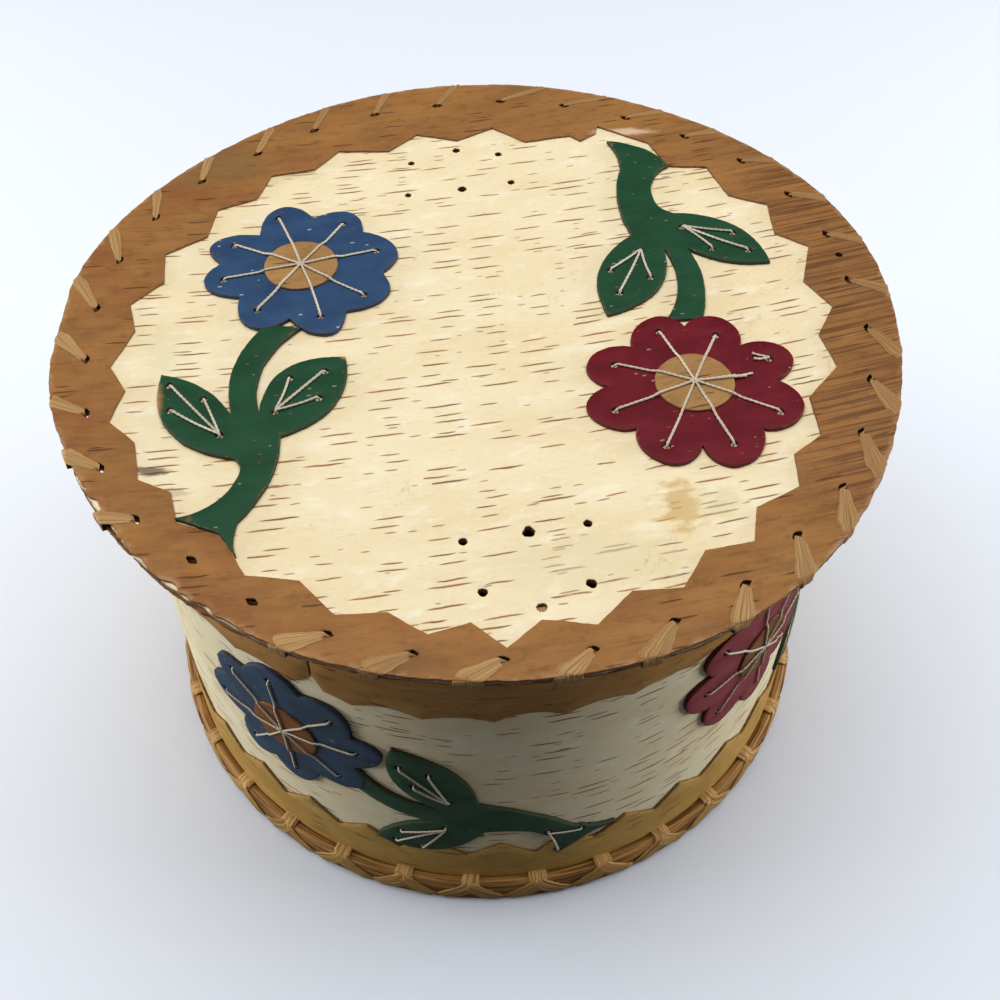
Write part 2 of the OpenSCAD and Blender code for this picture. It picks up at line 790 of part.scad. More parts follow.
module border_envelope() {
    translate([0, 0, field_z - cut]) linear_extrude(border_t + cut + fit) difference() {
        circle(r = lid_r + cut);
        field_plan(-fit);
    }
}

module lid_petals(at, turn) {
    difference() {
        on_lid(at, turn, 0, motif_t) petals_plan();
        border_envelope();
    }
}

module lid_disc(at, turn) {
    color(brown_bark) on_lid(at, turn, motif_t, motif_t + disc_t) difference() {
        circle(r = disc_r);
        circle(r = awl_r / motif_k, $fn = 12);
    }
}

module lid_spray(at, turn, petal_turn) {
    color(green_bark) difference() {
        on_lid(at, turn, 0, motif_t) spray_plan();
        on_lid(at, petal_turn, -cut, motif_t + cut) flower_plan(butt_gap);
        border_envelope();
    }
}

module lid_leaf_threads(at, turn) {
    color(thread_white) union() {
        on_lid(at, turn, motif_top, motif_top + thread_t) leaf_threads_plan();
        on_lid(at, turn, -top_t / 2, motif_top + thread_t / 2) leg_plan(leaf_points());
    }
}

module lid_blue_petals() { color(blue_bark) lid_petals(lid_blue_at, lid_blue_petal_turn); }
module lid_blue_disc() { lid_disc(lid_blue_at, lid_blue_turn); }
module lid_blue_threads() { star_threads_lid(lid_blue_at, lid_blue_petal_turn); }
module lid_blue_spray() { lid_spray(lid_blue_at, lid_blue_turn, lid_blue_petal_turn); }
module lid_blue_leaf_threads() { lid_leaf_threads(lid_blue_at, lid_blue_turn); }
module lid_red_petals() { color(red_bark) lid_petals(lid_red_at, lid_red_petal_turn); }
module lid_red_disc() { lid_disc(lid_red_at, lid_red_turn); }
module lid_red_threads() { star_threads_lid(lid_red_at, lid_red_petal_turn); }
module lid_red_spray() { lid_spray(lid_red_at, lid_red_turn, lid_red_petal_turn); }
module lid_red_leaf_threads() { lid_leaf_threads(lid_red_at, lid_red_turn); }

bottom_disc();
wall_sheet();
lower_band();
upper_band();
foot_hoop();
foot_lashing();
mouth_lashing();
seam_stitches();
wall_blue_petals();
wall_blue_disc();
wall_blue_threads();
wall_blue_spray();
wall_blue_leaf_threads();
wall_red_petals();
wall_red_disc();
wall_red_threads();
wall_red_spray();
wall_red_leaf_threads();
lid_under_sheet();
lid_top_sheet();
lid_border();
lid_edge_lashing();
lid_collar();
collar_stitches();
lid_blue_petals();
lid_blue_disc();
lid_blue_threads();
lid_blue_spray();
lid_blue_leaf_threads();
lid_red_petals();
lid_red_disc();
lid_red_threads();
lid_red_spray();
lid_red_leaf_threads();
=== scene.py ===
"""Looks of the birch bark box: hand-cut bark sheets, split-root straps, sewing thread and their materials."""
import math
import random

import bpy
import numpy as np
from mathutils import Matrix, Vector, geometry, noise
from mathutils.kdtree import KDTree


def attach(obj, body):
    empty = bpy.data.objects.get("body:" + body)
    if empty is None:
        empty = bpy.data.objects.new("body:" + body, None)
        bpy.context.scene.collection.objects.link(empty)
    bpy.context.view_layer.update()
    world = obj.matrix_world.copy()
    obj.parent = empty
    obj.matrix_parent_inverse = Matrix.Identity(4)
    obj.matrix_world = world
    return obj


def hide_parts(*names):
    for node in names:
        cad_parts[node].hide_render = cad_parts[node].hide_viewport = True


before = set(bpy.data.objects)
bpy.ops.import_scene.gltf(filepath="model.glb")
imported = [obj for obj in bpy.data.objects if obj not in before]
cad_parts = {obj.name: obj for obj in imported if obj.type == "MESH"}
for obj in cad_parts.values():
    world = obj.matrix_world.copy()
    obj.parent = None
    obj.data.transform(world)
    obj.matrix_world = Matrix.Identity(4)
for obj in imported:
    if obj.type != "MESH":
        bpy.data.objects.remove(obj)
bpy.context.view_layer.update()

MM = 0.001

# Sizes of the solids, in millimetres
WALL_R = 122.4
BOX_H = 167.5
BOTTOM_T = 2.2
FIT = 0.05
BAND_T = 0.7
BAND_LOW_H = 35.0
BAND_TOOTH_H = 9.0
UPPER_BAND_Z = 122.5
HOOP_IN = WALL_R + BAND_T + 2 * FIT
HOOP_T = 4.0
HOOP_H = 10.5
HOOP_TOP = BOTTOM_T + HOOP_H
LID_R = 140.0
UNDER_Z = 168.65
SHEET_Z = 170.15
FIELD_Z = 171.35
BORDER_T = 0.9
BORDER_Z = FIELD_Z + BORDER_T
LASHES = 33
MOTIF_T = 1.5
DISC_T = 0.8
DISC_R = 12.7
THREAD_R = 0.45
AWL_R = 1.3
FOOT_LASHES = 32
FOOT_SPREAD = 11.0
FOOT_FIRST = -94.0

# Sizes of the scene's own detail, in millimetres
PLY_PITCH = 3.6
ON_TOP = MOTIF_T + THREAD_R + 0.05
ROOT_OUT = HOOP_IN + HOOP_T + 0.12
DEEPEST_EDGE = 30.0

# The four motifs: place of the flower (x and y on the lid, angle and height on the wall), turn of the petals,
# turn of the spray, and the seed of its unevenness
MOTIFS = {
    "lid_blue": ((-61.27, 29.49), -4.5, -9.6, 51),
    "lid_red": ((67.57, -32.09), 180.0, 183.0, 61),
    "wall_blue": ((-123.2, 89.0), 74.0, 61.4, 71),
    "wall_red": ((-42.3, 100.0), 74.0, 61.4, 81),
}


# ---------------------------------------------------------------- plane geometry

def polar(r, a):
    return (r * math.cos(math.radians(a)), r * math.sin(math.radians(a)))


def turned(p, a):
    c, s = math.cos(math.radians(a)), math.sin(math.radians(a))
    return (p[0] * c - p[1] * s, p[0] * s + p[1] * c)


def wander(x, y, size, seed):
    """Smooth noise between -1 and 1 over lengths of about size."""
    return noise.noise(Vector((x / size + seed * 7.31, y / size - seed * 3.17, seed * 1.73)))


def bulged(p, q, b, n=12):
    """Points from p to q, without q, that bulge to the left of the way by b."""
    length = math.dist(p, q)
    side = ((p[1] - q[1]) / length, (q[0] - p[0]) / length)
    out = []
    for i in range(n):
        t = i / n
        k = b * 4 * t * (1 - t)
        out.append((p[0] + t * (q[0] - p[0]) + side[0] * k, p[1] + t * (q[1] - p[1]) + side[1] * k))
    return out


def area_of(loop):
    return sum(a[0] * b[1] - b[0] * a[1] for a, b in zip(loop, loop[1:] + loop[:1])) / 2


def resampled(loop, step):
    """The loop with points no further apart than step, its corners kept."""
    out = []
    for a, b in zip(loop, loop[1:] + loop[:1]):
        n = max(1, math.ceil(math.dist(a, b) / step))
        out += [(a[0] + (b[0] - a[0]) * i / n, a[1] + (b[1] - a[1]) * i / n) for i in range(n)]
    return out


def moved_in(loop, by):
    """Every point moved to the left of the way, which is into the bark, by a number or by by(x, y)."""
    out = []
    for i, (x, y) in enumerate(loop):
        a, b = loop[i - 1], loop[(i + 1) % len(loop)]
        dx, dy = b[0] - a[0], b[1] - a[1]
        length = math.hypot(dx, dy) or 1
        k = by(x, y) if callable(by) else by
        out.append((x - dy / length * k, y + dx / length * k))
    return out


def hand_cut(loop, step, amount, seed, size=6.0):
    """A knife-cut outline: evenly fine, with small wanderings."""
    loop = resampled(loop, step)
    if area_of(loop) < 0:
        loop = loop[::-1]
    return moved_in(loop, lambda x, y: amount * (
        wander(x, y, size, seed) + 0.45 * wander(x, y, size / 4, seed + 5)))


def circle_loop(at, r, n=20, ragged=0.0, seed=0):
    """A round hole as a loop that runs clockwise."""
    out = []
    for i in range(n):
        uneven = 1 + ragged * noise.noise(Vector((at[0] + i * 0.7, at[1], seed)))
        x, y = polar(r * uneven, -360 * i / n)
        out.append((at[0] + x, at[1] + y))
    return out


def inside(points, loops):
    """Even-odd test of many points against all loops together."""
    pts = np.asarray(points, float).reshape(-1, 2)
    odd = np.zeros(len(pts), bool)
    for loop in loops:
        a = np.asarray(loop, float)
        b = np.roll(a, -1, axis=0)
        for (ax, ay), (bx, by) in zip(a, b):
            if ay == by:
                continue
            hit = (pts[:, 1] > min(ay, by)) & (pts[:, 1] <= max(ay, by))
            if hit.any():
                x = ax + (pts[:, 1] - ay) * (bx - ax) / (by - ay)
                odd ^= hit & (pts[:, 0] < x)
    return odd


def nearest(points, loops):
    """Distance of each point to the nearest loop point."""
    ends = [p for loop in loops for p in loop]
    tree = KDTree(len(ends))
    for i, p in enumerate(ends):
        tree.insert((*p, 0), i)
    tree.balance()
    return [tree.find((*p, 0))[2] for p in points]


# ---------------------------------------------------------------- meshes

def hand_over(piece, body, node, slot):
    """Puts the piece on the body that it rides and hides the solid that it stands for. slot is not used."""
    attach(piece, body)
    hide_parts(node)


def mesh_piece(name, verts, faces, materials, face_materials=(), uvs=(), **values):
    """A smooth mesh from millimetres. Each of values is a named list with one number for every vertex."""
    mesh = bpy.data.meshes.new(name)
    mesh.from_pydata([tuple(c * MM for c in v) for v in verts], [], faces)
    for m in materials:
        mesh.materials.append(m)
    if face_materials:
        mesh.polygons.foreach_set("material_index", face_materials)
    for key, numbers in values.items():
        layer = mesh.attributes.new(key, "FLOAT", "POINT")
        layer.data.foreach_set("value", np.asarray(numbers, np.float32))
    if uvs:
        layer = mesh.uv_layers.new(name="strand")
        corner = np.zeros(len(mesh.loops), np.int32)
        mesh.loops.foreach_get("vertex_index", corner)
        layer.data.foreach_set("uv", np.asarray(uvs, np.float32)[corner].ravel())
    mesh.update()
    mesh.validate()
    mesh.polygons.foreach_set("use_smooth", [True] * len(mesh.polygons))
    piece = bpy.data.objects.new(name, mesh)
    bpy.context.scene.collection.objects.link(piece)
    return piece


def on_lid(u, v, h):
    return (u, v, h)


def round_wall(u, v, h):
    """u runs round the wall as an arc at the wall's own radius, v is the height."""
    a = u / WALL_R
    return ((WALL_R + h) * math.cos(a), (WALL_R + h) * math.sin(a), v)


def motif_on_lid(at, turn):
    def place(u, v, h):
        x, y = turned((u, v), turn)
        return (at[0] + x, at[1] + y, FIELD_Z + h)
    return place


def motif_on_wall(at, turn):
    def place(u, v, h):
        x, y = turned((u, v), turn)
        a = math.radians(at[0]) + x / WALL_R
        r = WALL_R + h
        return (r * math.cos(a), r * math.sin(a), at[1] + y)
    return place


def loose_grid(outline, step, draw):
    """Points in shifted rows over the outline's box, each a little off its place."""
    us, vs = [p[0] for p in outline], [p[1] for p in outline]
    right_end, y, top_end = max(us), min(vs), max(vs)
    out, row = [], 0
    while y < top_end:
        x = min(us) + row % 2 * step / 2
        while x < right_end:
            out.append((x + draw.uniform(-0.15, 0.15) * step, y + draw.uniform(-0.15, 0.15) * step))
            x += step
        y += step * 0.87
        row += 1
    return out


def bark_sheet(name, claim, outline, holes, low, high, place, step, top, edge, rim=0.3,
               crown=lambda u, v, d: 0.0, seed=1):
    """A closed sheet of bark: top, bottom and a rounded rim, fine enough to bend. claim is its body, solid
    and slot. crown(u, v, distance to the edge) lifts the top and the bottom together."""
    if area_of(outline) < 0:
        outline = outline[::-1]
    loops = [outline] + [h if area_of(h) < 0 else h[::-1] for h in holes]
    inner = [moved_in(loop, rim) for loop in loops]
    middle = [moved_in(loop, rim * 0.3) for loop in loops]
    grid = loose_grid(outline, step, random.Random(seed))
    grid = [p for p, within in zip(grid, inside(grid, inner)) if within]
    grid = [p for p, d in zip(grid, nearest(grid, inner)) if d > step * 0.45]
    ties, start = [], 0
    for loop in inner:
        n = len(loop)
        ties += [(start + i, start + (i + 1) % n) for i in range(n)]
        start += n
    flat = [Vector(p) for loop in inner for p in loop] + [Vector(p) for p in grid]
    pts, _, tris, origin, _, _ = geometry.delaunay_2d_cdt(flat, ties, [], 0, 1e-7)
    pts = [(p[0], p[1]) for p in pts]
    centres = [tuple(sum(pts[i][k] for i in t) / 3 for k in (0, 1)) for t in tris]
    tris = [t for t, within in zip(tris, inside(centres, inner)) if within]
    where = {source: i for i, sources in enumerate(origin) for source in sources}
    distance = nearest(pts, [outline])

    verts, edge_of, faces, mats = [], [], [], []
    for loop, mid in zip(loops, middle):
        for ring, h, d in ((loop, low, 0.0), (loop, high - rim, 0.0), (mid, high - rim * 0.3, rim * 0.3)):
            verts += [place(*p, h + crown(*q, 0.0)) for p, q in zip(ring, loop)]
            edge_of += [d] * len(loop)
    top_start = len(verts)
    low_start = top_start + len(pts)
    for h in (high, low):
        verts += [place(*p, h + crown(*p, d)) for p, d in zip(pts, distance)]
        edge_of += [min(d, DEEPEST_EDGE) for d in distance]
    for t in tris:
        faces += [tuple(top_start + i for i in t), tuple(low_start + i for i in reversed(t))]
        mats += [0, 1]
    start = 0
    for loop in loops:
        n = len(loop)
        rings = [[low_start + where[start + i] for i in range(n)]]
        rings += [[3 * start + k * n + i for i in range(n)] for k in range(3)]
        rings.append([top_start + where[start + i] for i in range(n)])
        for i in range(n):
            j = (i + 1) % n
            faces += [(a[i], a[j], b[j], b[i]) for a, b in zip(rings, rings[1:])]
            mats += [1, 1, 1, 0]
        start += n
    # where two ring points share a place, a face loses a corner or drops out
    faces = [tuple(dict.fromkeys(f)) for f in faces]
    whole = [(f, m) for f, m in zip(faces, mats) if len(f) > 2]
    piece = mesh_piece(name, verts, [f for f, _ in whole], [top, edge], [m for _, m in whole], edge=edge_of)
    hand_over(piece, *claim)


class Strands:
    """Swept strands of one piece: every vertex knows its place along its strand and its strand's tint."""

    def __init__(self):
        self.verts, self.faces, self.uvs, self.tints = [], [], [], []

    def sweep(self, path, up_at, section, tint):
        """Sweeps section(share of length, length in mm), a ring of (side, up) points, along path, and closes
        both ends. up_at(index, point) says which way is out of the surface."""
        base, n = len(self.verts), len(path)
        length = [0.0]
        for a, b in zip(path, path[1:]):
            length.append(length[-1] + math.dist(a, b))
        for i, p in enumerate(path):
            along = (Vector(path[min(i + 1, n - 1)]) - Vector(path[max(i - 1, 0)])).normalized()
            up = Vector(up_at(i, p))
            up = (up - along * up.dot(along)).normalized()
            side = along.cross(up)
            ring = section(length[i] / length[-1], length[i])
            count = len(ring)
            for k, (s, u) in enumerate(ring):
                self.verts.append(tuple(Vector(p) + side * s + up * u))
                self.uvs.append((k / count, length[i]))
                self.tints.append(tint)
        for i in range(n - 1):
            for k in range(count):
                a, b = (base + i * count + m for m in (k, (k + 1) % count))
                self.faces.append((a, b, b + count, a + count))
        last = base + (n - 1) * count
        self.faces += [tuple(base + k for k in reversed(range(count))), tuple(last + k for k in range(count))]

    def hand_over(self, name, skin, body, node, slot):
        piece = mesh_piece(name, self.verts, self.faces, [skin], uvs=self.uvs, tint=self.tints)
        hand_over(piece, body, node, slot)


def smooth_path(points, step):
    """A Catmull-Rom curve through the points, sampled about every step."""
    pts = [Vector(p) for p in points]
    out = []
    for i in range(len(pts) - 1):
        p0, p1 = pts[max(i - 1, 0)], pts[i]
        p2, p3 = pts[i + 1], pts[min(i + 2, len(pts) - 1)]
        n = max(2, round((p2 - p1).length / step))
        for k in range(n):
            t = k / n
            v = 0.5 * ((2 * p1) + (p2 - p0) * t + (2 * p0 - 5 * p1 + 4 * p2 - p3) * t * t
                       + (3 * p1 - p0 - 3 * p2 + p3) * t * t * t)
            out.append(tuple(v))
    out.append(tuple(pts[-1]))
    return out


# ---------------------------------------------------------------- materials

class Graph:
    """A short way to write a node material. x, y and z are the place in mm, and grain is the pair of
    millimetres along and across the bark's grain."""

    def __init__(self, name, rough, specular, grain_of=None):
        self.material = bpy.data.materials.new(name)
        self.material.use_nodes = True
        self.tree = self.material.node_tree
        self.shader = self.tree.nodes["Principled BSDF"]
        self.shader.inputs["Roughness"].default_value = rough
        self.shader.inputs["Specular IOR Level"].default_value = specular
        place = self.split(self.new("ShaderNodeTexCoord").outputs["Object"])
        self.x, self.y, self.z = (self.math("DIVIDE", v, MM) for v in place)
        self.grain = grain_of(self) if grain_of else None

    def put(self, socket, value):
        if isinstance(value, bpy.types.NodeSocket):
            self.tree.links.new(value, socket)
        else:
            socket.default_value = value

    def new(self, kind, inputs=(), **props):
        """A node with these properties, and with inputs given in order or by name."""
        n = self.tree.nodes.new(kind)
        for k, v in props.items():
            setattr(n, k, v)
        for k, v in (inputs.items() if isinstance(inputs, dict) else enumerate(inputs)):
            self.put(n.inputs[k], v)
        return n

    def math(self, op, a, b=0.0, c=0.0):
        return self.new("ShaderNodeMath", (a, b, c), operation=op).outputs[0]

    def plus(self, a, b):
        return self.math("ADD", a, b)

    def times(self, a, b, plus=None):
        return self.math("MULTIPLY", a, b) if plus is None else self.math("MULTIPLY_ADD", a, b, plus)

    def minus(self, a, b):
        return self.math("SUBTRACT", a, b)

    def span(self, a, b):
        return self.math("SQRT", self.plus(self.times(a, a), self.times(b, b)))

    def join(self, x, y, z=0.0):
        return self.new("ShaderNodeCombineXYZ", (x, y, z)).outputs[0]

    def split(self, vector):
        return self.new("ShaderNodeSeparateXYZ", (vector,)).outputs

    def lid_grain(self):
        """The grain on the flat lid, which climbs to the right, more and more."""
        bend = self.times(self.x, 0.00045, 0.155)
        return self.x, self.minus(self.y, self.times(self.x, bend))

    def wall_grain(self):
        """The grain round the wall, counted from the front."""
        return self.times(self.math("ARCTAN2", self.x, self.times(self.y, -1.0)), WALL_R), self.z

    def noise(self, size_along, size_across, detail=3.0, rough=0.55, warp=0.0, seed=0.0):
        """Noise between 0 and 1 with its own size along and across the grain, in mm."""
        along, across = self.grain
        at = self.join(self.math("DIVIDE", along, size_along), self.math("DIVIDE", across, size_across), seed)
        inputs = {"Vector": at, "Scale": 1.0, "Detail": detail, "Roughness": rough, "Distortion": warp}
        return self.new("ShaderNodeTexNoise", inputs).outputs["Fac"]

    def ramp(self, value, low, high, to_low=0.0, to_high=1.0):
        inputs = {"Value": value, "From Min": low, "From Max": high, "To Min": to_low, "To Max": to_high}
        return self.new("ShaderNodeMapRange", inputs, interpolation_type="SMOOTHSTEP").outputs["Result"]

    def fade(self, value, low, high):
        """1 up to low, 0 from high."""
        return self.ramp(value, low, high, 1.0, 0.0)

    def mix(self, share, a, b):
        inputs = {"Factor": share, "A": rgb(a), "B": rgb(b)}
        return self.new("ShaderNodeMix", inputs, data_type="RGBA").outputs["Result"]

    def over(self, under, colour, mask, amount):
        """The colour laid over what is under it, by this amount where the mask is 1."""
        return self.mix(self.times(mask, amount), under, colour)

    def dashes(self, cell, chosen, half_length, half_width, seed=0.0, wobble=0.6):
        """Scattered thin dashes along the grain, pointed at both ends: 1 on a dash, 0 off it, and each dash's
        own tone. Lengths are in mm."""
        shift = seed * 13.0
        drift = self.noise(9.0, 9.0, detail=2.0, seed=seed + 9)
        across = self.plus(self.grain[1], self.times(self.minus(drift, 0.5), wobble * 2))
        a, b = self.math("DIVIDE", self.grain[0], cell[0]), self.math("DIVIDE", across, cell[1])
        inputs = {"Vector": self.join(a, self.plus(b, shift)), "Scale": 1.0, "Randomness": 0.85}
        n = self.new("ShaderNodeTexVoronoi", inputs, feature="F1", voronoi_dimensions="2D")
        r, g, tone = self.split(n.outputs["Color"])
        pa, pb, _ = self.split(n.outputs["Position"])
        da = self.times(self.minus(a, pa), cell[0] / half_length)
        da = self.math("DIVIDE", da, self.times(g, 0.65, 0.35))
        db = self.times(self.minus(b, self.minus(pb, shift)), cell[1] / half_width)
        db = self.math("DIVIDE", db, self.times(g, 0.4, 0.6))
        pick = self.math("LESS_THAN", r, chosen)
        return self.times(self.fade(self.span(da, db), 0.75, 1.1), pick), tone

    def spot(self, at, size, ragged=0.5, seed=0.0):
        """A soft ragged spot on the lid at a place in the lid's own millimetres."""
        dx, dy = (self.math("DIVIDE", self.minus(v, m), s) for v, m, s in zip((self.x, self.y), at, size))
        uneven = self.noise(7.0, 3.0, detail=4.0, seed=seed + 3)
        far = self.plus(self.span(dx, dy), self.times(self.minus(uneven, 0.5), ragged * 2))
        return self.fade(far, 0.35, 1.0)

    def attribute(self, name):
        return self.new("ShaderNodeAttribute", attribute_name=name).outputs["Fac"]

    def finish(self, colour, height=None, depth=0.1, rough=None):
        """depth is how many millimetres a height of 1 stands for."""
        self.put(self.shader.inputs["Base Color"], colour)
        if rough is not None:
            self.put(self.shader.inputs["Roughness"], rough)
        if height is not None:
            inputs = {"Strength": 1.0, "Distance": depth * MM, "Height": height}
            self.put(self.shader.inputs["Normal"], self.new("ShaderNodeBump", inputs).outputs["Normal"])
        return self.material


def rgb(c):
    """A web colour as the linear values that a shader takes. A socket stays what it is."""
    if isinstance(c, bpy.types.NodeSocket):
        return c
    parts = [int(c[i:i + 2], 16) / 255 for i in (1, 3, 5)]
    return [p / 12.92 if p <= 0.04045 else ((p + 0.055) / 1.055) ** 2.4 for p in parts] + [1.0]


# Stains of the lid's white sheet: place, half size, colour, strength and seed
LID_STAINS = (
    ((57.0, -81.0), (9.0, 12.0), "#cda866", 0.75, 1.0),
    ((68.0, -80.0), (10.0, 8.0), "#d9cb9b", 0.45, 2.0),
    ((-101.0, -61.5), (8.0, 2.6), "#4f4230", 0.8, 3.0),
    ((-92.0, -71.0), (6.0, 2.4), "#8d7f60", 0.35, 4.0),
    ((-104.0, -10.0), (9.0, 16.0), "#d8cda6", 0.4, 5.0),
    ((-75.0, 86.0), (22.0, 9.0), "#d4c297", 0.5, 6.0),
    ((30.0, -100.0), (40.0, 14.0), "#e2d4ab", 0.5, 7.0),
)


def white_bark(name, grain_of, stains=()):
    g = Graph(name, 0.62, 0.2, grain_of)
    cloud = g.noise(60.0, 25.0, detail=4.0)
    fleck = g.noise(4.0, 1.4, detail=5.0, rough=0.65, seed=4)
    pale = g.noise(14.0, 7.0, detail=5.0, rough=0.6, seed=8)
    chalk = g.noise(3.0, 2.0, detail=6.0, rough=0.7, seed=17)
    hair = g.noise(26.0, 0.45, rough=0.7, seed=12)
    c = g.mix(g.ramp(cloud, 0.3, 0.7), "#f2e3bd", "#ebd6a9")
    for look, low, high, amount, colour in (
            (fleck, 0.5, 0.75, 0.4, "#d5c093"), (pale, 0.52, 0.70, 0.6, "#f8efd6"),
            (chalk, 0.55, 0.68, 0.35, "#fbf5e6"), (hair, 0.60, 0.78, 0.18, "#bf9f6e")):
        c = g.over(c, colour, g.ramp(look, low, high), amount)
    scuff = g.noise(16.0, 16.0, detail=9.0, rough=0.6, warp=0.4, seed=21)
    region = g.ramp(g.noise(40.0, 30.0, detail=2.0, seed=33), 0.58, 0.68)
    scuffs = g.times(g.fade(g.math("ABSOLUTE", g.minus(scuff, 0.5)), 0.0, 0.0045), region)
    c = g.over(c, "#a9946c", scuffs, 0.25)
    long_dash, long_tone = g.dashes((16.5, 3.2), 0.5, 6.8, 0.34, seed=1.0)
    short_dash, short_tone = g.dashes((7.0, 2.6), 0.09, 2.2, 0.28, seed=5.0)
    halo, _ = g.dashes((16.5, 3.2), 0.5, 7.6, 0.75, seed=1.0)
    c = g.over(c, "#d3b483", halo, 0.28)
    c = g.over(c, g.mix(short_tone, "#a9764a", "#8a5c38"), short_dash, 0.75)
    c = g.over(c, g.mix(long_tone, "#a1673a", "#7a4a2a"), long_dash, 0.92)
    for at, size, colour, amount, seed in stains:
        c = g.over(c, colour, g.spot(at, size, ragged=1.1, seed=seed), amount)
    if stains:
        c = g.over(c, "#b08d6a", g.fade(g.attribute("edge"), 0.0, 1.0), 0.5)
    relief = g.times(fleck, 0.35, g.times(hair, 0.3))
    relief = g.plus(relief, g.times(g.plus(long_dash, short_dash), 0.8))
    relief = g.minus(relief, g.times(scuffs, 0.3))
    return g.finish(c, relief, 0.16, g.times(cloud, 0.15, 0.55))


def brown_bark(name, grain_of, light, middle, dark, streak, border=False):
    """The bark's inner face. The lid's border has patches, dark rows, spots and a worn rim of its own."""
    g = Graph(name, 0.5, 0.16, grain_of)
    cloud = g.noise(38.0, 16.0, detail=4.0)
    fine = g.noise(16.0, 0.8, detail=4.0, rough=0.65, seed=3)
    broad = g.noise(60.0, 3.0, detail=4.0, rough=0.6, warp=0.3, seed=6)
    mottle = g.noise(7.0, 3.5, detail=6.0, rough=0.7, seed=25)
    bright = g.noise(22.0, 1.1, seed=9)
    nick = g.noise(3.2, 0.5, detail=4.0, rough=0.7, seed=29)
    looks = [(broad, 0.5, 0.72, streak, dark), (fine, 0.48, 0.72, streak * 0.8, dark),
             (mottle, 0.50, 0.68, 0.5, dark), (bright, 0.56, 0.72, 0.5, light),
             (nick, 0.63, 0.72, 0.45, g.mix(0.5, light, "#e0bf95"))]
    if border:
        tan = g.noise(24.0, 12.0, detail=5.0, rough=0.65, seed=41)
        drab = g.noise(28.0, 14.0, detail=5.0, rough=0.65, seed=47)
        looks += [(tan, 0.48, 0.66, 0.6, "#a06e38"), (drab, 0.52, 0.70, 0.5, "#765b33")]
    c = g.mix(g.ramp(cloud, 0.32, 0.68), light, middle)
    for look, low, high, amount, colour in looks:
        c = g.over(c, colour, g.ramp(look, low, high), amount)
    if border:
        patch = g.ramp(g.noise(30.0, 18.0, seed=14), 0.45, 0.65)
        c = g.over(c, "#804628", g.times(patch, g.ramp(g.x, -150.0, 20.0, 1.0, 0.15)), 0.55)
    slit, _ = g.dashes((17.0, 3.4), 0.22, 6.0, 0.4, seed=7.0)
    c = g.over(c, "#472b16", slit, 0.75)
    if border:
        rows = g.noise(45.0, 1.25, detail=2.0, rough=0.6, warp=0.2, seed=18)
        c = g.over(c, "#5d3a24", g.times(g.ramp(rows, 0.44, 0.60), g.ramp(g.x, 85.0, 115.0)), 0.75)
        c = g.over(c, "#7d6238", g.spot((-100.0, 90.0), (30.0, 18.0), seed=2.0), 0.6)
        c = g.over(c, "#d9b79c", g.spot((57.0, 105.0), (15.0, 3.2), seed=6.0), 0.9)
        worn = g.ramp(g.noise(6.0, 6.0, detail=4.0, seed=22), 0.45, 0.62)
        c = g.over(c, "#b48c66", g.times(g.fade(g.attribute("edge"), 0.2, 2.2), worn), 0.6)
    relief = g.times(fine, 0.6, g.times(broad, 0.5))
    relief = g.minus(relief, g.times(slit, 0.7))
    return g.finish(c, relief, 0.16, g.times(cloud, 0.2, 0.42))


def painted_bark(name, grain_of, colour, deep, wear, chip, bare=()):
    """Painted bark, worn along its cut edge. bare holds places and half sizes of spots without paint."""
    g = Graph(name, 0.45, 0.09, grain_of)
    cloud = g.noise(16.0, 8.0, detail=4.0)
    brush = g.noise(12.0, 0.5, rough=0.6, seed=2)
    c = g.mix(g.ramp(cloud, 0.3, 0.7), colour, deep)
    c = g.over(c, deep, g.ramp(brush, 0.5, 0.8), 0.25)
    ragged = g.noise(2.2, 1.6, detail=5.0, rough=0.7, seed=5)
    reach = g.times(ragged, 2.4, -0.95)
    region = g.ramp(g.noise(22.0, 22.0, detail=2.0, seed=8), 0.42, 0.60)
    worn = g.times(g.ramp(g.minus(reach, g.attribute("edge")), -0.10, 0.12), region)
    c = g.mix(worn, c, wear)
    flake, tone = g.dashes((2.6, 1.6), 0.05, 0.9, 0.35, seed=11.0, wobble=0.3)
    c = g.over(c, g.mix(g.math("GREATER_THAN", tone, 0.6), wear, chip), flake, 0.85)
    for at, size in bare:
        c = g.mix(g.spot(at, size, ragged=0.25, seed=at[0]), c, "#c08a4e")
    dust = g.noise(7.0, 7.0, detail=6.0, rough=0.7, seed=15)
    c = g.over(c, "#b8b4ad", g.ramp(dust, 0.60, 0.80), 0.03)
    relief = g.times(brush, 0.4, g.times(cloud, 0.3))
    relief = g.minus(relief, g.times(g.math("MAXIMUM", worn, flake), 0.6))
    return g.finish(c, relief, 0.12, g.times(worn, 0.3, 0.38))


def cut_edge(name, light, dark):
    """The layered side of a cut sheet."""
    g = Graph(name, 0.75, 0.2)
    g.grain = g.plus(g.x, g.y), g.z
    layers = g.noise(9.0, 0.22)
    g.grain = g.x, g.y
    grit = g.noise(0.8, 0.8, seed=3)
    both = g.times(grit, 0.4, g.times(layers, 0.6))
    return g.finish(g.mix(g.ramp(both, 0.35, 0.65), light, dark), layers, 0.15)


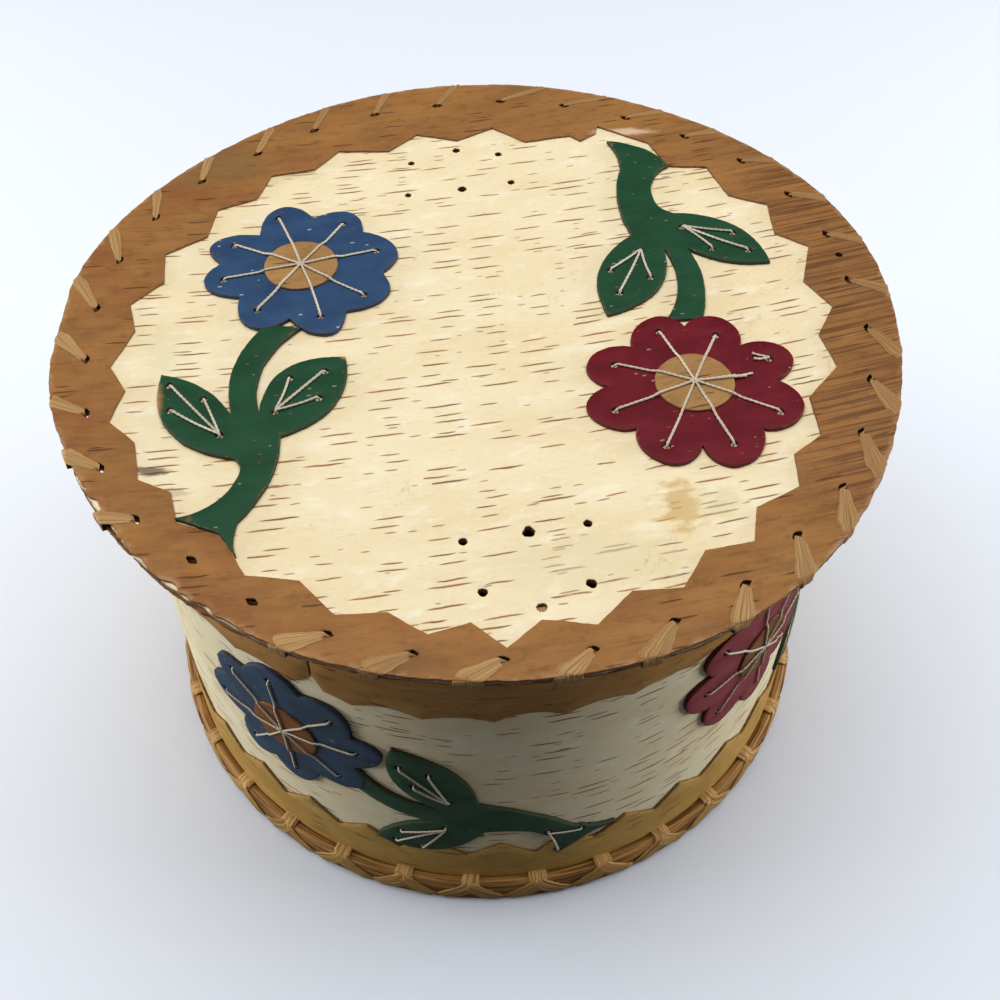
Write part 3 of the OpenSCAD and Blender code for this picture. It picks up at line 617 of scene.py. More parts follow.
def strand(name, light, middle, dark, lines, depth, rough=0.55):
    """Split root or thread, striped along its own length by its strand coordinates."""
    g = Graph(name, rough, 0.2)
    k, length, _ = g.split(g.new("ShaderNodeUVMap", uv_map="strand").outputs["UV"])
    tint = g.attribute("tint")
    turn = g.times(k, 2 * math.pi)
    across = [g.times(g.math(op, turn), lines) for op in ("SINE", "COSINE")]
    at = g.join(*across, g.times(length, 0.045, g.times(tint, 37.0)))
    stripe = g.new("ShaderNodeTexNoise", {"Vector": at, "Scale": 1.0, "Detail": 3.0}).outputs["Fac"]
    c = g.mix(g.ramp(stripe, 0.36, 0.62), dark, light)
    return g.finish(g.over(c, middle, tint, 0.55), stripe, depth)


def plain_root(name):
    """Split root for the solids that stay, striped up and down."""
    g = Graph(name, 0.6, 0.3)
    g.grain = g.z, g.times(g.math("ARCTAN2", g.y, g.x), WALL_R)
    fibre = g.noise(9.0, 0.45)
    return g.finish(g.mix(g.ramp(fibre, 0.35, 0.65), "#7c5a34", "#c9a670"), fibre, 0.2)


on_lid_grain, on_wall_grain = Graph.lid_grain, Graph.wall_grain
lid_white = white_bark("lid_white_bark", on_lid_grain, LID_STAINS)
wall_white = white_bark("wall_white_bark", on_wall_grain)
ring_brown = brown_bark("border_brown_bark", on_lid_grain, "#a1703c", "#8d6033", "#613f1d", 0.33, border=True)
wall_brown = brown_bark("upper_band_bark", on_wall_grain, "#b9874a", "#a6753c", "#754b1d", 0.4)
wall_ochre = brown_bark("lower_band_bark", on_wall_grain, "#c89f58", "#b98f4a", "#946a30", 0.3)
disc_lid = brown_bark("disc_bark_lid", on_lid_grain, "#ad8450", "#9f7747", "#6e4b28", 0.35)
disc_wall = brown_bark("disc_bark_wall", on_wall_grain, "#8a5a32", "#7a4d2b", "#4e321c", 0.4)
inner_bark = brown_bark("inner_bark", on_lid_grain, "#9a6636", "#86562c", "#5c3a1e", 0.4)
wall_inner = brown_bark("wall_inner_bark", on_wall_grain, "#9a6636", "#86562c", "#5c3a1e", 0.4)
cut_brown = cut_edge("cut_brown_edge", "#84592f", "#4f3019")
cut_border = cut_edge("cut_border_edge", "#9c734a", "#6e4b2c")
cut_band = cut_edge("cut_band_edge", "#a57e48", "#6e5030")
cut_pale = cut_edge("cut_pale_edge", "#c9a988", "#7d5a3c")
# Each paint: its colour, a deeper one, the bark where it is worn and the tone of some chips
PAINTS = {
    "blue": ("#345071", "#2c4363", "#6f4433", "#b9b2a4"),
    "red": ("#6f1a25", "#5e131c", "#83442e", "#b98a6c"),
    "green": ("#244c34", "#1e422c", "#7a5534", "#8f8a70"),
}
DULL_PAINTS = {
    "blue": ("#3f5064", "#354455", "#5d3c2c", "#a39d92"),
    "red": ("#93444a", "#7d343a", "#83442e", "#b98a6c"),
    "green": ("#3a5a42", "#2f4a37", "#5f442b", "#8f8a70"),
}
# Where the paint and the bark's outer layer have come off a leaf on the lid, and a leaf's bare tip
BARE = (((-104.6, -37.0), (5.0, 15.0)), ((-43.6, -15.2), (2.6, 2.6)))
paint_lid = {k: painted_bark(k + "_paint_lid", on_lid_grain, *v, bare=BARE) for k, v in PAINTS.items()}
paint_wall = {k: painted_bark(k + "_paint_wall", on_wall_grain, *v) for k, v in DULL_PAINTS.items()}
cut_paint = {k: cut_edge(k + "_cut_edge", v[0], "#4a3220") for k, v in PAINTS.items()}
root_skin = strand("split_root", "#c39c66", "#80582f", "#8a6337", 13.0, 0.08)
foot_root_skin = strand("foot_root", "#d3a866", "#b98d4f", "#7a5129", 6.0, 0.2)
withe_skin = strand("withe_wood", "#b98848", "#9c6f38", "#5e3d1e", 5.0, 0.3)
thread_skin = strand("sewing_thread", "#ddd2bf", "#cbbba2", "#a39177", 2.0, 0.05, rough=0.8)
still_root = plain_root("still_root")


# ---------------------------------------------------------------- camera, light and floor

CAMERA_AT = Vector((0.0, -322.8, 466.2)) * MM
PITCH, YAW, ROLL = math.radians(50.17), math.radians(1.07), math.radians(0.72)
forward = Vector((math.sin(YAW) * math.cos(PITCH), math.cos(YAW) * math.cos(PITCH), -math.sin(PITCH)))
level = Vector((math.cos(YAW), -math.sin(YAW), 0.0))
down = forward.cross(level)
right = level * math.cos(ROLL) + down * math.sin(ROLL)
below = -level * math.sin(ROLL) + down * math.cos(ROLL)
camera_data = bpy.data.cameras.new("camera")
camera_data.sensor_width = 36.0
camera_data.lens = 46.8
camera_data.clip_start = 0.01
camera = bpy.data.objects.new("camera", camera_data)
turn = Matrix((right, -below, -forward)).transposed()
camera.matrix_world = Matrix.Translation(CAMERA_AT) @ turn.to_4x4()
bpy.context.scene.collection.objects.link(camera)
bpy.context.scene.camera = camera


def area_light(name, at, aim, size, power, colour=(1.0, 1.0, 1.0)):
    data = bpy.data.lights.new(name, "AREA")
    data.shape = "RECTANGLE"
    data.size, data.size_y = size
    data.energy = power
    data.color = colour
    lamp = bpy.data.objects.new(name, data)
    lamp.location = at
    lamp.rotation_euler = (Vector(aim) - Vector(at)).to_track_quat("-Z", "Y").to_euler()
    bpy.context.scene.collection.objects.link(lamp)


area_light("top_softbox", (-0.12, 0.2, 1.5), (-0.1, 0.1, 0.1), (2.2, 1.6), 26.0, (1.0, 0.99, 0.985))
area_light("left_panel", (-1.15, 0.12, 0.26), (0.0, 0.0, 0.12), (0.9, 0.45), 13.0, (0.90, 0.955, 1.0))
area_light("right_panel", (1.15, 0.1, 0.28), (0.0, 0.0, 0.12), (0.9, 0.45), 12.5, (0.90, 0.955, 1.0))

world = bpy.data.worlds.new("studio")
world.use_nodes = True
bpy.context.scene.world = world
sky = world.node_tree.nodes["Background"]
sky.inputs["Color"].default_value = rgb("#e6eaf2")
rays = world.node_tree.nodes.new("ShaderNodeLightPath")
strength = world.node_tree.nodes.new("ShaderNodeMapRange")
strength.inputs["To Min"].default_value = 0.08
strength.inputs["To Max"].default_value = 0.95
world.node_tree.links.new(rays.outputs["Is Camera Ray"], strength.inputs["Value"])
world.node_tree.links.new(strength.outputs["Result"], sky.inputs["Strength"])
bpy.context.scene.view_settings.view_transform = "Standard"

paper = Graph("floor_paper", 0.85, 0.1)
paper_seen = paper.new("ShaderNodeLightPath").outputs["Is Camera Ray"]
paper_fade = paper.ramp(paper.span(paper.x, paper.y), 550.0, 1500.0)
paper.put(paper.shader.inputs["Emission Color"], rgb("#e6eaf2"))
paper.put(paper.shader.inputs["Emission Strength"], paper.times(paper.times(paper_fade, paper_seen), 0.95))
paper.finish(paper.mix(paper_fade, paper.mix(paper_seen, "#6c6e72", "#e4e8f0"), "#000000"))
bpy.ops.mesh.primitive_plane_add(size=12.0, location=(0, 0, -0.0004))
floor = bpy.context.object
floor.name = "floor"
floor.data.materials.append(paper.material)


# ---------------------------------------------------------------- the lid's sheets

# Radii of the hand-punched holes and the slant of each strap, clockwise from the lid's right
HOLE_RADII = (
    127.4, 128.1, 127.8, 128.4, 130.7, 129.7, 132.0, 132.6, 133.7, 133.1, 131.9, 130.8, 129.5, 127.9,
    130.3, 130.6, 129.5, 128.9, 129.4, 130.2, 130.1, 129.6, 127.2, 127.1, 126.9, 126.9, 128.3, 128.8,
    128.7, 129.3, 131.0, 130.8, 130.0)
STRAP_LEANS = (
    2.9, 5.1, 5.0, 6.1, 5.6, 3.9, 3.5, 4.3, 3.3, 3.7, 4.2, 4.6, 0, 0, 3.0, 4.1, 3.5, 5.2, 6.0, 6.1, 5.4,
    4.9, 5.6, 4.3, 3.4, 3.6, 6.8, 6.1, 4.7, 3.2, 3.2, 3.5, 3.0)
MISSING_STRAPS = (12, 13)


def lash_angle(i):
    step = 360 / LASHES
    return 7.4 - i * step + 2 * (1 - math.cos(math.radians(i * step)))


def lash_hole(i):
    return polar(HOLE_RADII[i % LASHES], lash_angle(i))


def lash_slit(i, grow=0.0):
    """An almond-shaped hole, wider along the edge, a little ragged."""
    x, y = lash_hole(i)
    out = []
    for k in range(18):
        t = -2 * math.pi * k / 18
        across = (2.15 + grow) * math.cos(t)
        inward = (1.3 + grow) * math.sin(t) * (1 - 0.45 * abs(math.cos(t)))
        rough = 1 + 0.2 * noise.noise(Vector((i * 3.7 + k * 0.6, 2, 0)))
        du, dv = turned((-inward * rough, across * rough), lash_angle(i))
        out.append((x + du, y + dv))
    return out


def lid_edge(a):
    """Radius of the hand-cut lid in the direction a, held inside the square that the lid needs."""
    k = math.radians
    wave = 1.1 * math.cos(k(3 * a - 152)) + 0.4 * math.cos(k(4 * a - 74)) + 0.8 * math.cos(k(5 * a - 108))
    return min(LID_R + wave, (LID_R + 0.05) / max(abs(math.cos(k(a))), abs(math.sin(k(a)))))


def torn(a):
    """How badly the border's edge is torn at this angle, strongest at the front left."""
    d = (a + 139 + 180) % 360 - 180
    return max(0.0, 1 - (d / 26) ** 2)


def edge_loop(inset, ragged, seed, tear=0.0, size=5.0):
    out = []
    for i in range(760):
        a = 360 * i / 760
        x, y = polar(LID_R, a)
        cut = ragged * (wander(x, y, size, seed) + 0.6 * wander(x, y, size / 3, seed + 2))
        bite = 0.55 + 0.9 * abs(wander(x, y, 9.0, seed + 4)) + 0.5 * wander(x, y, 2.5, seed + 6)
        out.append(polar(lid_edge(a) - inset + min(cut, 0.3) - max(tear * torn(a) * bite, 0.0), a))
    return out


# Notches and tips of the border's hand-cut inner edge, round the lid from its left
FIELD_EDGE = (
    (-119.9, -16.9), (-113.4, -27.9), (-116.4, -41.4), (-107, -50.3), (-103.6, -65.7), (-93.1, -71),
    (-89.9, -82.6), (-76.7, -87.9), (-67.9, -102.6), (-52.4, -105), (-42.1, -116.9), (-27.4, -116.4),
    (-16.3, -124.3), (-4.6, -120.7), (5, -129.3), (14.7, -120.4), (30, -122.6), (40.4, -111.7), (55, -111.1),
    (62.4, -98.3), (77.1, -95.4), (79.7, -82.9), (93.6, -75.3), (94.3, -62.4), (104, -54.7), (103.1, -38.6),
    (114.7, -25), (111.4, -10), (118.6, 3.5), (111.1, 16.7), (116.1, 34.9), (105.4, 42.4), (105.3, 58.9),
    (92.1, 64.6), (86.4, 82), (72.1, 83.1), (66, 97.9), (47.5, 109.5), (46.5, 105), (40.4, 100.3),
    (36.4, 103.9), (19.3, 100.6), (6.9, 110.3), (-6.7, 102.7), (-22.4, 107.1), (-32.7, 96.7), (-51.7, 97.4),
    (-60.3, 86.4), (-76.3, 83.1), (-80.3, 69.3), (-94.1, 63.6), (-96, 48.1), (-109.6, 38.9), (-108.1, 23.9),
    (-118.1, 13.1), (-114.3, 0))


def lid_wave(u, v, d=0.0):
    """The lid isn't quite flat."""
    return 0.28 * wander(u, v, 70.0, 41)


# Unused holes in the white field, with their radii, and one more at the border's right
SPARE_HOLES = (
    (-6.5, -92.0, 1.3), (12.6, -89.0, 1.9), (29.9, -86.6, 1.3), (-1.1, -110.2, 1.4),
    (15.1, -115.9, 1.5), (29.4, -108.2, 1.6), (-24.2, 89.6, 1.2), (-7.2, 97.1, 1.4),
    (8.7, 94.0, 1.3), (-25.0, 70.0, 1.2), (-5.2, 72.9, 1.6), (13.0, 76.4, 1.3))
LONE_HOLE = (125.7, 29.6)
field_holes = [circle_loop((x, y), r, 18, 0.25, x) for x, y, r in SPARE_HOLES]
lash_holes = [lash_slit(i) for i in range(LASHES)] + [circle_loop(LONE_HOLE, 1.3, 16, 0.3, 9)]
# the white sheet's are larger, so that it doesn't show in the border's
hidden_holes = [lash_slit(i, 0.7) for i in range(LASHES)] + [circle_loop(LONE_HOLE, 1.9, 16, 0.3, 9)]
field_edge = hand_cut(list(FIELD_EDGE), 1.0, 0.22, 2)

bark_sheet("lid_under_bark", ("lid", "lid_under_sheet", "brown_bark"), edge_loop(0.9, 0.5, 3, 0.6),
           lash_holes + field_holes, UNDER_Z, SHEET_Z, on_lid, 5.0, cut_brown, inner_bark, 0.2, lid_wave, 1)
bark_sheet("lid_white_sheet", ("lid", "lid_top_sheet", "white_bark"), edge_loop(0.45, 0.45, 5, 1.4),
           hidden_holes + field_holes, SHEET_Z, FIELD_Z, on_lid, 3.4, lid_white, cut_pale, 0.25, lid_wave, 2)
bark_sheet("lid_zigzag_border", ("lid", "lid_border", "brown_bark"), edge_loop(0.2, 0.35, 7, 2.6),
           [field_edge] + lash_holes, FIELD_Z, BORDER_Z, on_lid, 3.0, ring_brown, cut_border, 0.22,
           lid_wave, 3)


# ---------------------------------------------------------------- bands round the wall

LOW_TEETH = 33
LOW_FIRST_TOOTH = -274.6
SCALLOPS = 35
FIRST_SCALLOP = -110.0
JOINT_ANGLE = -115.9
BACK_START, BACK_END = -270, 90


def arc(angle):
    return math.radians(angle) * WALL_R


def lower_band_loop():
    """Zigzag upper edge, lower at the front; the ends meet at the back."""
    points = [(arc(BACK_START), BOTTOM_T), (arc(BACK_END), BOTTOM_T), (arc(BACK_END), BAND_LOW_H + 3)]
    for i in range(LOW_TEETH + 1, -2, -1):
        for half in (0.5, 0.0):
            a = LOW_FIRST_TOOTH + (i + half - 0.5) * 360 / LOW_TEETH
            if BACK_START < a < BACK_END:
                draw = random.Random(i * 2 + (half > 0))
                high = BAND_LOW_H - 1.0 + (BAND_TOOTH_H if half else 0.0) + draw.uniform(-1.0, 1.0)
                sag = 5.0 * math.exp(-((a + 90) / 34) ** 2)
                points.append((arc(a + draw.uniform(-0.6, 0.6)), high - sag))
    points.append((arc(BACK_START), BAND_LOW_H + 3))
    return hand_cut(points, 1.2, 0.2, 11)


def upper_band_loop():
    """Shallow scallops below with downward tips; its ends meet in a notch at the left of the front."""
    start = JOINT_ANGLE + 0.12
    end = JOINT_ANGLE + 359.88
    points = [(arc(end), BOX_H), (arc(start), BOX_H), (arc(start), UPPER_BAND_Z + 9),
              (arc(start + 1.3), UPPER_BAND_Z + 2)]
    for i in range(-1, SCALLOPS + 1):
        for k in range(6):
            t = k / 6
            a = FIRST_SCALLOP + (i + t) * 360 / SCALLOPS
            if start + 2.0 < a < end - 3.2:
                high = UPPER_BAND_Z - 0.5 + (3.2 + random.Random(i).uniform(-0.7, 0.7)) * 4 * t * (1 - t)
                points.append((arc(a), high + 0.5 * wander(a, 0, 9, 3)))
    points += [(arc(end - 2.4), UPPER_BAND_Z + 2.5), (arc(end), UPPER_BAND_Z + 9)]
    return hand_cut(points, 1.2, 0.2, 13)


bark_sheet("lower_zigzag_band", ("box", "lower_band", "ochre_bark"), lower_band_loop(), [], FIT,
           FIT + BAND_T + 0.25, round_wall, 4.5, wall_ochre, cut_band, rim=0.22, seed=4)
bark_sheet("upper_band_sheet", ("box", "upper_band", "brown_bark"), upper_band_loop(), [], FIT,
           FIT + BAND_T, round_wall, 4.5, wall_brown, cut_band, rim=0.22, seed=5)


# ---------------------------------------------------------------- flowers and sprays

# Hand-cut petals: how broad the lobes are, then the angle and radius of each tip and of the notch after it
PETALS = {
    "blue": (1.1, ((17.1, 34.0), (46, 27.8), (65.9, 33.2), (88.5, 27.0), (109.3, 34.5), (136.2, 23.7),
        (164.5, 34.8), (178.5, 27.9), (196.1, 33.5), (221.5, 24.8), (250, 33.4), (270, 26.4),
        (294.5, 36.0), (310.2, 28.5), (337.8, 34.0), (357, 28.4))),
    "red": (0.75, ((17.2, 36.3), (42.9, 27.3), (71.2, 35.5), (88.5, 26.4), (104.9, 36.2),
        (132.9, 27.3), (158.5, 35.0), (181.6, 25.7), (201.4, 35.3), (225, 24.2), (249.6, 32.8),
        (270, 26.8), (286.5, 32.8), (316.2, 24.8), (343.4, 35.0), (360.6, 27.1))),
}
STAR_ENDS = {
    "blue": ((20.8, 26.9), (64, 26.7), (114.9, 28.8), (157.9, 27.3), (197, 26.9), (243.4, 25.6),
        (292.4, 27), (329.8, 27)),
    "red": ((22.9, 28.2), (66.1, 28.9), (108.7, 27.6), (152.3, 28.6), (202.4, 27.4), (246, 23.9),
        (290, 25.9), (339.3, 26.3)),
}
# Each spray is one piece: stalk, right leaf, left leaf and forked tail, with the bulge of every stretch
SPRAYS = {
    "lid_blue": (((7.3, -30), -6), ((3.3, -70), 9.5), ((24.7, -41.4), 8), ((12.3, -78.6), 3.3),
        ((8.3, -113), -1), ((11.1, -125.4), 0), ((4.4, -118.3), 0), ((-10.3, -114.3), -3.5),
        ((3.7, -96), -1), ((0.9, -89.6), 10), ((-32.3, -57.4), 3.2), ((-5.3, -71.4), 5.2),
        ((-4.6, -30), 0)),
    "lid_red": (((4.3, -30), -4.5), ((-1.3, -66.4), 8), ((22.9, -34.6), 7.5), ((9, -75.4), 3),
        ((7.6, -114.3), -1), ((10.4, -131.9), 0.8), ((-3.1, -125.7), 0.8), ((-10.3, -114.3), -3),
        ((-2, -96.4), -1.8), ((-7.4, -86.4), 8.4), ((-36.7, -56.7), 3.3), ((-9.3, -66.4), 3.3),
        ((-8.1, -30), 0)),
    "wall": (((5.5, -27), -4), ((3.5, -59), 8.4), ((28.5, -28.7), 7.8), ((13.5, -68), 3.2),
        ((9, -108), -0.9), ((11.1, -125), 0), ((4.4, -118), 0), ((-10.3, -112), -3.3),
        ((3, -94), -1.2), ((-3.0, -79), 8.8), ((-34.3, -51.5), 3.3), ((-6.5, -60.5), 3),
        ((-5, -27), 0)),
}
# The sewing thread of each spray: where it comes out of the bark and where it goes in again
LEAF_THREADS = {
    "lid_blue": (((8.3, -68.6), ((9.1, -53.6), (19.7, -49), (20.4, -61))), ((-6.3, -80.7), ((-28.1, -61.9),
        (-15.6, -66.4), (-24.6, -72.6)))),
    "lid_red": (((7.1, -66.4), ((5.9, -52.1), (17.6, -45), (19, -56.9))), ((-9.3, -77.9), ((-30.3, -63.3),
        (-17.9, -65.3), (-26.7, -73.3)))),
    "wall": (((10.4, -58.8), ((12.2, -44.7), (22.6, -45.3), (20, -35.6))), ((-7.8, -66.5),
        ((-29.8, -57.6), (-21.3, -55.5), (-26.5, -66.7))), ((4.1, -100.1), ((8, -111.7),
        (-7.3, -110.6)))),
}
# The lid's red flower has one broken thread: its frayed end lies on the petal, a tuft is left at its hole.
# Each bit has the radius and angle of both its ends, and how far its end stands off the bark
BROKEN = 4
BROKEN_BITS = (((0, 0), (20, 190), 0.1), ((0, 0), (17.5, 187), 0.25), ((27.4, 202.4), (22.5, 206), 0.3),
               ((27.4, 202.4), (23.5, 212), 0.2))


def flower_loop(colour, seed):
    power, marks = PETALS[colour]
    points = []
    for i in range(0, len(marks), 2):
        before, tip, after = marks[i - 1], marks[i], marks[i + 1]
        start = before[0] - (360 if i == 0 else 0)
        for low, mark, ahead in ((start, before, True), (after[0], after, False)):
            for k in range(14):
                t = k / 14 if ahead else 1 - k / 14
                a = low + (tip[0] - low) * t
                points.append(polar(mark[1] + (tip[1] - mark[1]) * math.sin(t * math.pi / 2) ** power, a))
    return hand_cut(points, 0.9, 0.2, seed, size=5.0)


def spray_loop(kind):
    loop = SPRAYS[kind]
    return [point for (p, b), (q, _) in zip(loop, loop[1:] + loop[:1]) for point in bulged(p, q, b)]


def petals_crown(seed):
    """Petal tips curl up a very little, and each one by its own amount."""
    def crown(u, v, d):
        r = math.hypot(u, v)
        return 0.25 * (0.35 + 0.65 * wander(u, v, 22.0, seed)) * max(0.0, (r - 14) / 20) ** 2 * 0.8
    return crown


def awl(at, r=AWL_R):
    return circle_loop(at, r, 14, 0.25, at[0])


def sewn(name, place, lines, heights, up_of, seed, body, node):
    """Threads from one point to others: heights(u, v) is where the thread's middle lies. A third number means
    that the thread ends loose, that much above the bark."""
    threads = Strands()
    draw = random.Random(seed)
    for start, end, *loose in lines:
        length = math.dist(start, end)
        side = ((end[1] - start[1]) / length, (start[0] - end[0]) / length)
        pts = [place(*start, -0.4), place(*start, heights(*start) * 0.55)]
        bow = draw.uniform(-0.5, 0.5)
        for i in range(10):
            t = 0.03 + 0.93 * i / 9
            k = bow * math.sin(math.pi * t)
            u, v = (start[m] + (end[m] - start[m]) * t + side[m] * k for m in (0, 1))
            pts.append(place(u, v, heights(u, v)))
        if loose:
            pts[-2:] = [place(u, v, heights(u, v) + loose[0])]
        else:
            pts += [place(*end, heights(*end) * 0.5), place(*end, -0.4)]
        thick = THREAD_R * draw.uniform(0.9, 1.1)
        threads.sweep(smooth_path(pts, 0.45), lambda i, p: up_of(p), two_ply(thick), draw.random())
    threads.hand_over(name, thread_skin, body, node, "thread")


def two_ply(thick):
    """The section of a thread of two twisted plies."""
    def section(share, length):
        twist = length * 2 * math.pi / PLY_PITCH
        ring = []
        for k in range(10):
            a = 2 * math.pi * k / 10
            r = thick * (0.84 + 0.16 * math.cos(2 * (a - twist)))
            ring.append((r * 1.1 * math.cos(a), r * 0.8 * math.sin(a)))
        return ring
    return section


def out_of_lid(p):
    return (0, 0, 1)


def out_of_wall(p):
    r = math.hypot(p[0], p[1])
    return (p[0] / r, p[1] / r, 0)


def star_height(u, v):
    """A thread of the star climbs from the petals onto the disc."""
    return ON_TOP + DISC_T / (1 + math.exp((math.hypot(u, v) - DISC_R - 0.8) * 2.2))


def leaf_height(u, v):
    return ON_TOP


FACES = {
    "lid": ("lid", motif_on_lid, paint_lid, disc_lid, out_of_lid),
    "wall": ("box", motif_on_wall, paint_wall, disc_wall, out_of_wall),
}


def motif(key, at, petal_turn, spray_turn, seed):
    """One flower with its centre, its spray and the threads of both."""
    face, colour = key.split("_")
    kind = key if face == "lid" else face
    body, place_at, paints, disc_skin, up_of = FACES[face]
    flower_place, spray_place = place_at(at, petal_turn), place_at(at, spray_turn)
    ends, leaves = STAR_ENDS[colour], LEAF_THREADS[kind]
    holes = [awl(polar(r, a)) for a, r in ends] + [awl((0, 0), 1.1)]
    bark_sheet(key + "_flower", (body, key + "_petals", colour + "_bark"), flower_loop(colour, seed), holes,
               0.02, MOTIF_T, flower_place, 2.4, paints[colour], cut_paint[colour],
               crown=petals_crown(seed), seed=seed)
    outline = hand_cut([polar(DISC_R - 0.1, i * 4) for i in range(90)], 0.9, 0.3, seed + 3)
    bark_sheet(key + "_flower_centre", (body, key + "_disc", "tan_bark"), outline, [awl((0, 0), 1.0)],
               MOTIF_T, MOTIF_T + DISC_T, flower_place, 2.4, disc_skin, cut_border, rim=0.25, seed=seed)
    outline = hand_cut(spray_loop(kind), 0.9, 0.25, seed + 7)
    holes = [awl(p) for base, tips in leaves for p in (base, *tips)]
    bark_sheet(key + "_leaves", (body, key + "_spray", "green_bark"), outline, holes, 0.02, MOTIF_T - 0.12,
               spray_place, 2.4, paints["green"], cut_paint["green"], seed=seed)
    star = [((0, 0), polar(r, a)) for a, r in ends]
    if key == "lid_red":
        bits = [(polar(*p), polar(*q), off) for p, q, off in BROKEN_BITS]
        star[BROKEN] = bits[0]
        star += bits[1:]
    sewn(key + "_star_thread", flower_place, star, star_height, up_of, seed, body, key + "_threads")
    fans = [(base, p) for base, tips in leaves for p in tips]
    sewn(key + "_leaf_thread", spray_place, fans, leaf_height, up_of, seed + 1, body, key + "_leaf_threads")


for key, settings in MOTIFS.items():
    motif(key, *settings)


# ---------------------------------------------------------------- split-root lashing

def strap_section(width_of, thick, grooves, draw):
    """A flat strap with lengthwise grooves and slightly uneven sides."""
    phases = [draw.uniform(0, 6.28) for _ in range(4)]

    def section(share, length):
        ring = []
        for k in range(26):
            a = 2 * math.pi * k / 26
            s, u = math.cos(a), math.sin(a)
            groove = 0.15 * math.sin(grooves * s * 3.1 + phases[0] + 0.1 * length)
            groove += 0.10 * math.sin(grooves * s * 7.3 + phases[1])
            side = 1 + 0.05 * math.sin(length * 0.6 + phases[2]) + 0.03 * math.sin(length * 1.7 + phases[3])
            rise = abs(u) ** 0.5 * thick * (1 + groove) if u > 0 else -abs(u) ** 0.5 * thick * 0.12
            ring.append((s * width_of(share) / 2 * side, rise))
        return ring
    return section


def lid_strap(i, straps):
    """Flat split root: out of its hole, fanning out over the edge and on to the next hole underneath."""
    draw = random.Random(400 + i)
    a = lash_angle(i)
    x, y = (c * 1.003 for c in lash_hole(i))
    over_a = a - STRAP_LEANS[i]
    edge_r = lid_edge(over_a) - 0.15
    top = BORDER_Z + lid_wave(x, y)
    low = UNDER_Z - 0.10
    out = polar(edge_r - 0.6, over_a)
    far = polar(edge_r, over_a - 0.1)
    inner = polar(edge_r - 4, over_a - 0.8)
    following = lash_hole(i + 1)
    between = ((inner[0] + following[0]) / 2, (inner[1] + following[1]) / 2)
    pts = [(x, y, top - 2.0), (x * 1.002, y * 1.002, top - 0.35)]
    for t in (0.14, 0.35, 0.6, 0.85):
        pts.append((x + (out[0] - x) * t, y + (out[1] - y) * t, top + 0.05 * math.sin(t * 3)))
    pts += [(*out, top), (*far, top - 0.6), (*far, low + 0.7), (*out, low + 0.02), (*inner, low),
            (*between, low), (*following, low + 0.2)]
    path = smooth_path(pts, 0.8)
    front = math.cos(math.radians(a + 80))
    width = 5.4 + 2.5 * front + draw.uniform(-0.5, 0.5)
    start = 1.9 + 0.2 * front

    def width_of(share):
        return start + (width - start) * min(1.0, share * 2.6) if share < 0.42 else width * 0.75

    def up(index, p):
        share = index / (len(path) - 1)
        rad = Vector((p[0], p[1], 0)).normalized()
        if p[2] > BORDER_Z - 0.35 and share < 0.6:
            return (0, 0, 1) if share > 0.06 else (rad.x * 0.2, rad.y * 0.2, 1)
        if p[2] < UNDER_Z + 0.4:
            return (0, 0, -1)
        return (rad.x, rad.y, 0.0)
    dark = 0.5 + 0.5 * math.cos(math.radians(a - 25))
    first = len(straps.verts)
    straps.sweep(path, up, strap_section(width_of, 0.2, 3, draw),
                 min(1.0, max(0.0, 0.85 * dark + draw.uniform(-0.15, 0.25))))
    # the strap bends over the edge along its whole width, however slanting it lies
    for k in range(first, len(straps.verts)):
        x, y, z = straps.verts[k]
        r, limit = math.hypot(x, y), lid_edge(math.degrees(math.atan2(y, x))) + 0.12
        if r > limit:
            straps.verts[k] = (x * limit / r, y * limit / r, z - min(1.2, r - limit) * 0.5 * (z > SHEET_Z))


lid_straps = Strands()
for i in range(LASHES):
    if i not in MISSING_STRAPS:
        lid_strap(i, lid_straps)
lid_straps.hand_over("lid_root_lashing", root_skin, "lid", "lid_edge_lashing", "split_root")


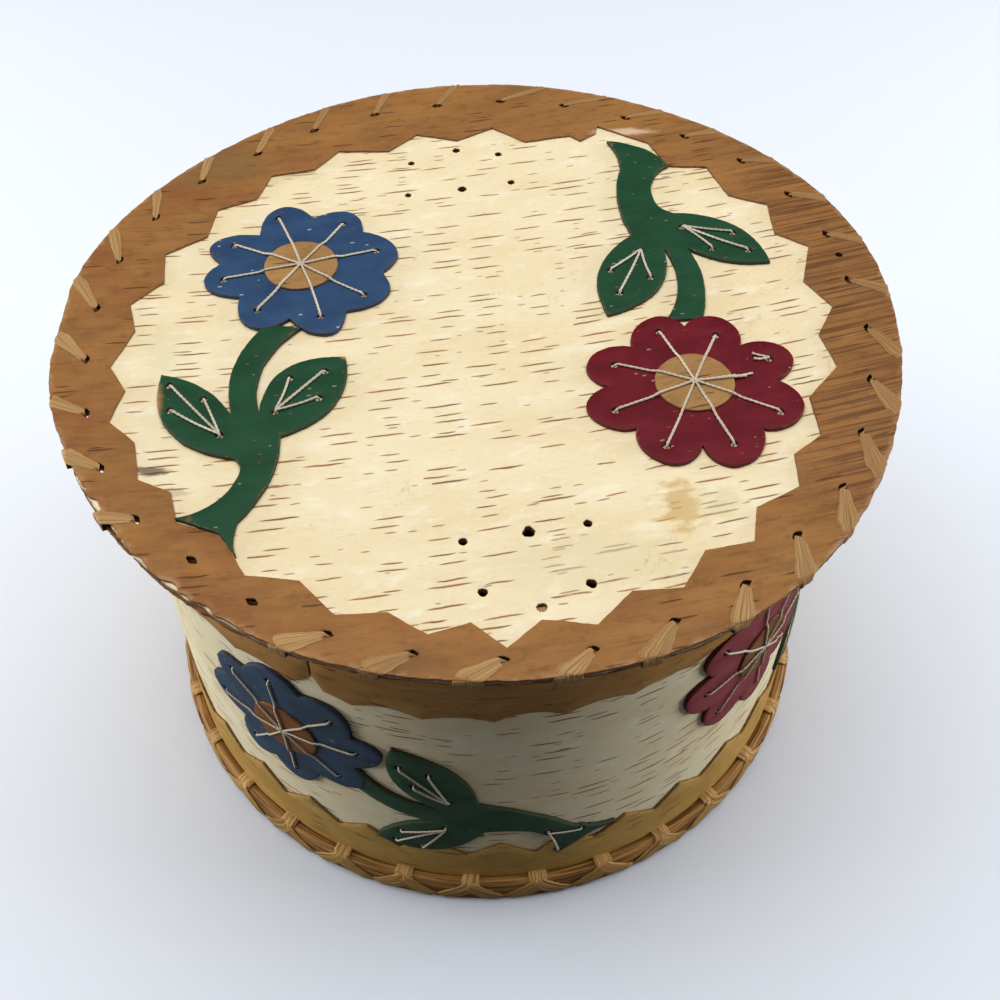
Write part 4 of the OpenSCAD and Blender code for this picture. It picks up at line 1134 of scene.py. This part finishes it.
def foot_leg(i, side, legs):
    """One leg: out of its slot, over the hoop, slanting down to the ground edge and back inside."""
    draw = random.Random(900 + 2 * i + (side > 0))
    a = FOOT_FIRST + i * 360 / FOOT_LASHES
    spread = side * (FOOT_SPREAD + draw.uniform(-0.4, 0.4))
    cross = -side * 0.7

    def at(r, across, z):
        angle = math.radians(a) + across / ROOT_OUT
        return (r * math.cos(angle), r * math.sin(angle), z)
    path = smooth_path([
        at(WALL_R - 1.0, cross, HOOP_TOP + 0.75), at(HOOP_IN + 0.2, cross, HOOP_TOP + 0.55),
        at(ROOT_OUT - 1.9, cross * 0.8, HOOP_TOP + 0.3), at(ROOT_OUT - 0.35, cross * 0.2, HOOP_TOP - 1.2),
        at(ROOT_OUT + 0.02, spread * 0.16, HOOP_TOP - 3.6),
        at(ROOT_OUT + 0.02, spread * 0.44, HOOP_TOP - 6.4),
        at(ROOT_OUT - 0.05, spread * 0.80, BOTTOM_T + 1.6), at(ROOT_OUT - 0.6, spread, BOTTOM_T - 0.2),
        at(ROOT_OUT - 2.4, spread, 1.05), at(ROOT_OUT - 5.5, spread, 0.95)], 0.7)
    width = draw.uniform(5.6, 6.6)

    def up(index, p):
        share = index / (len(path) - 1)
        x, y, _ = out_of_wall(p)
        if share < 0.2:
            return (x * 0.2, y * 0.2, 1.0)
        if share > 0.84:
            return (x * 0.3, y * 0.3, -1.0)
        return (x, y, 0.35 - 0.6 * share)

    def width_of(share):
        return width * (0.72 + 0.36 * math.sin(math.pi * min(1, share * 1.05)))
    legs.sweep(path, up, strap_section(width_of, 0.55, 2.5, draw), draw.random())


foot_legs = Strands()
for i in range(FOOT_LASHES):
    for side in (-1, 1):
        foot_leg(i, side, foot_legs)
foot_legs.hand_over("foot_root_lashing", foot_root_skin, "box", "foot_lashing", "split_root")


def withe(hoop, n=420, corners=16):
    """The split and bent hoop, its worn outer face wandering a little."""
    for i in range(n + 1):
        a = math.radians(96.5 + 358.6 * i / n)
        for k in range(corners):
            b = 2 * math.pi * k / corners
            s, u = math.cos(b), math.sin(b)
            x, y = (math.copysign(abs(c) ** 0.45, c) for c in (s, u))
            swell = 0.12 * wander(a * 60, k * 3.0, 6.0, 5)
            r = HOOP_IN + HOOP_T / 2 + x * (HOOP_T / 2 - 0.05) + min(0.0, swell)
            z = BOTTOM_T + HOOP_H / 2 + y * (HOOP_H / 2 - 0.1)
            z += 0.25 * wander(a * 40, 0, 5.0, 8) if u > 0 else 0.0
            hoop.verts.append((r * math.cos(a), r * math.sin(a), z))
            hoop.uvs.append((k / corners, a * WALL_R))
            hoop.tints.append(0.3)
    for i in range(n):
        for k in range(corners):
            p, q = i * corners + k, i * corners + (k + 1) % corners
            hoop.faces.append((p, p + corners, q + corners, q))
    hoop.faces += [tuple(range(corners)), tuple(n * corners + k for k in reversed(range(corners)))]


foot_withe = Strands()
withe(foot_withe)
foot_withe.hand_over("foot_withe", withe_skin, "box", "foot_hoop", "withe")


# ---------------------------------------------------------------- solids that stay, with better skins

SKINS = {
    "wall_sheet": wall_white, "bottom_disc": inner_bark, "mouth_lashing": still_root,
    "seam_stitches": still_root, "lid_collar": wall_inner, "collar_stitches": still_root,
}
for node, skin in SKINS.items():
    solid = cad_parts[node]
    solid.data.materials.clear()
    solid.data.materials.append(skin)
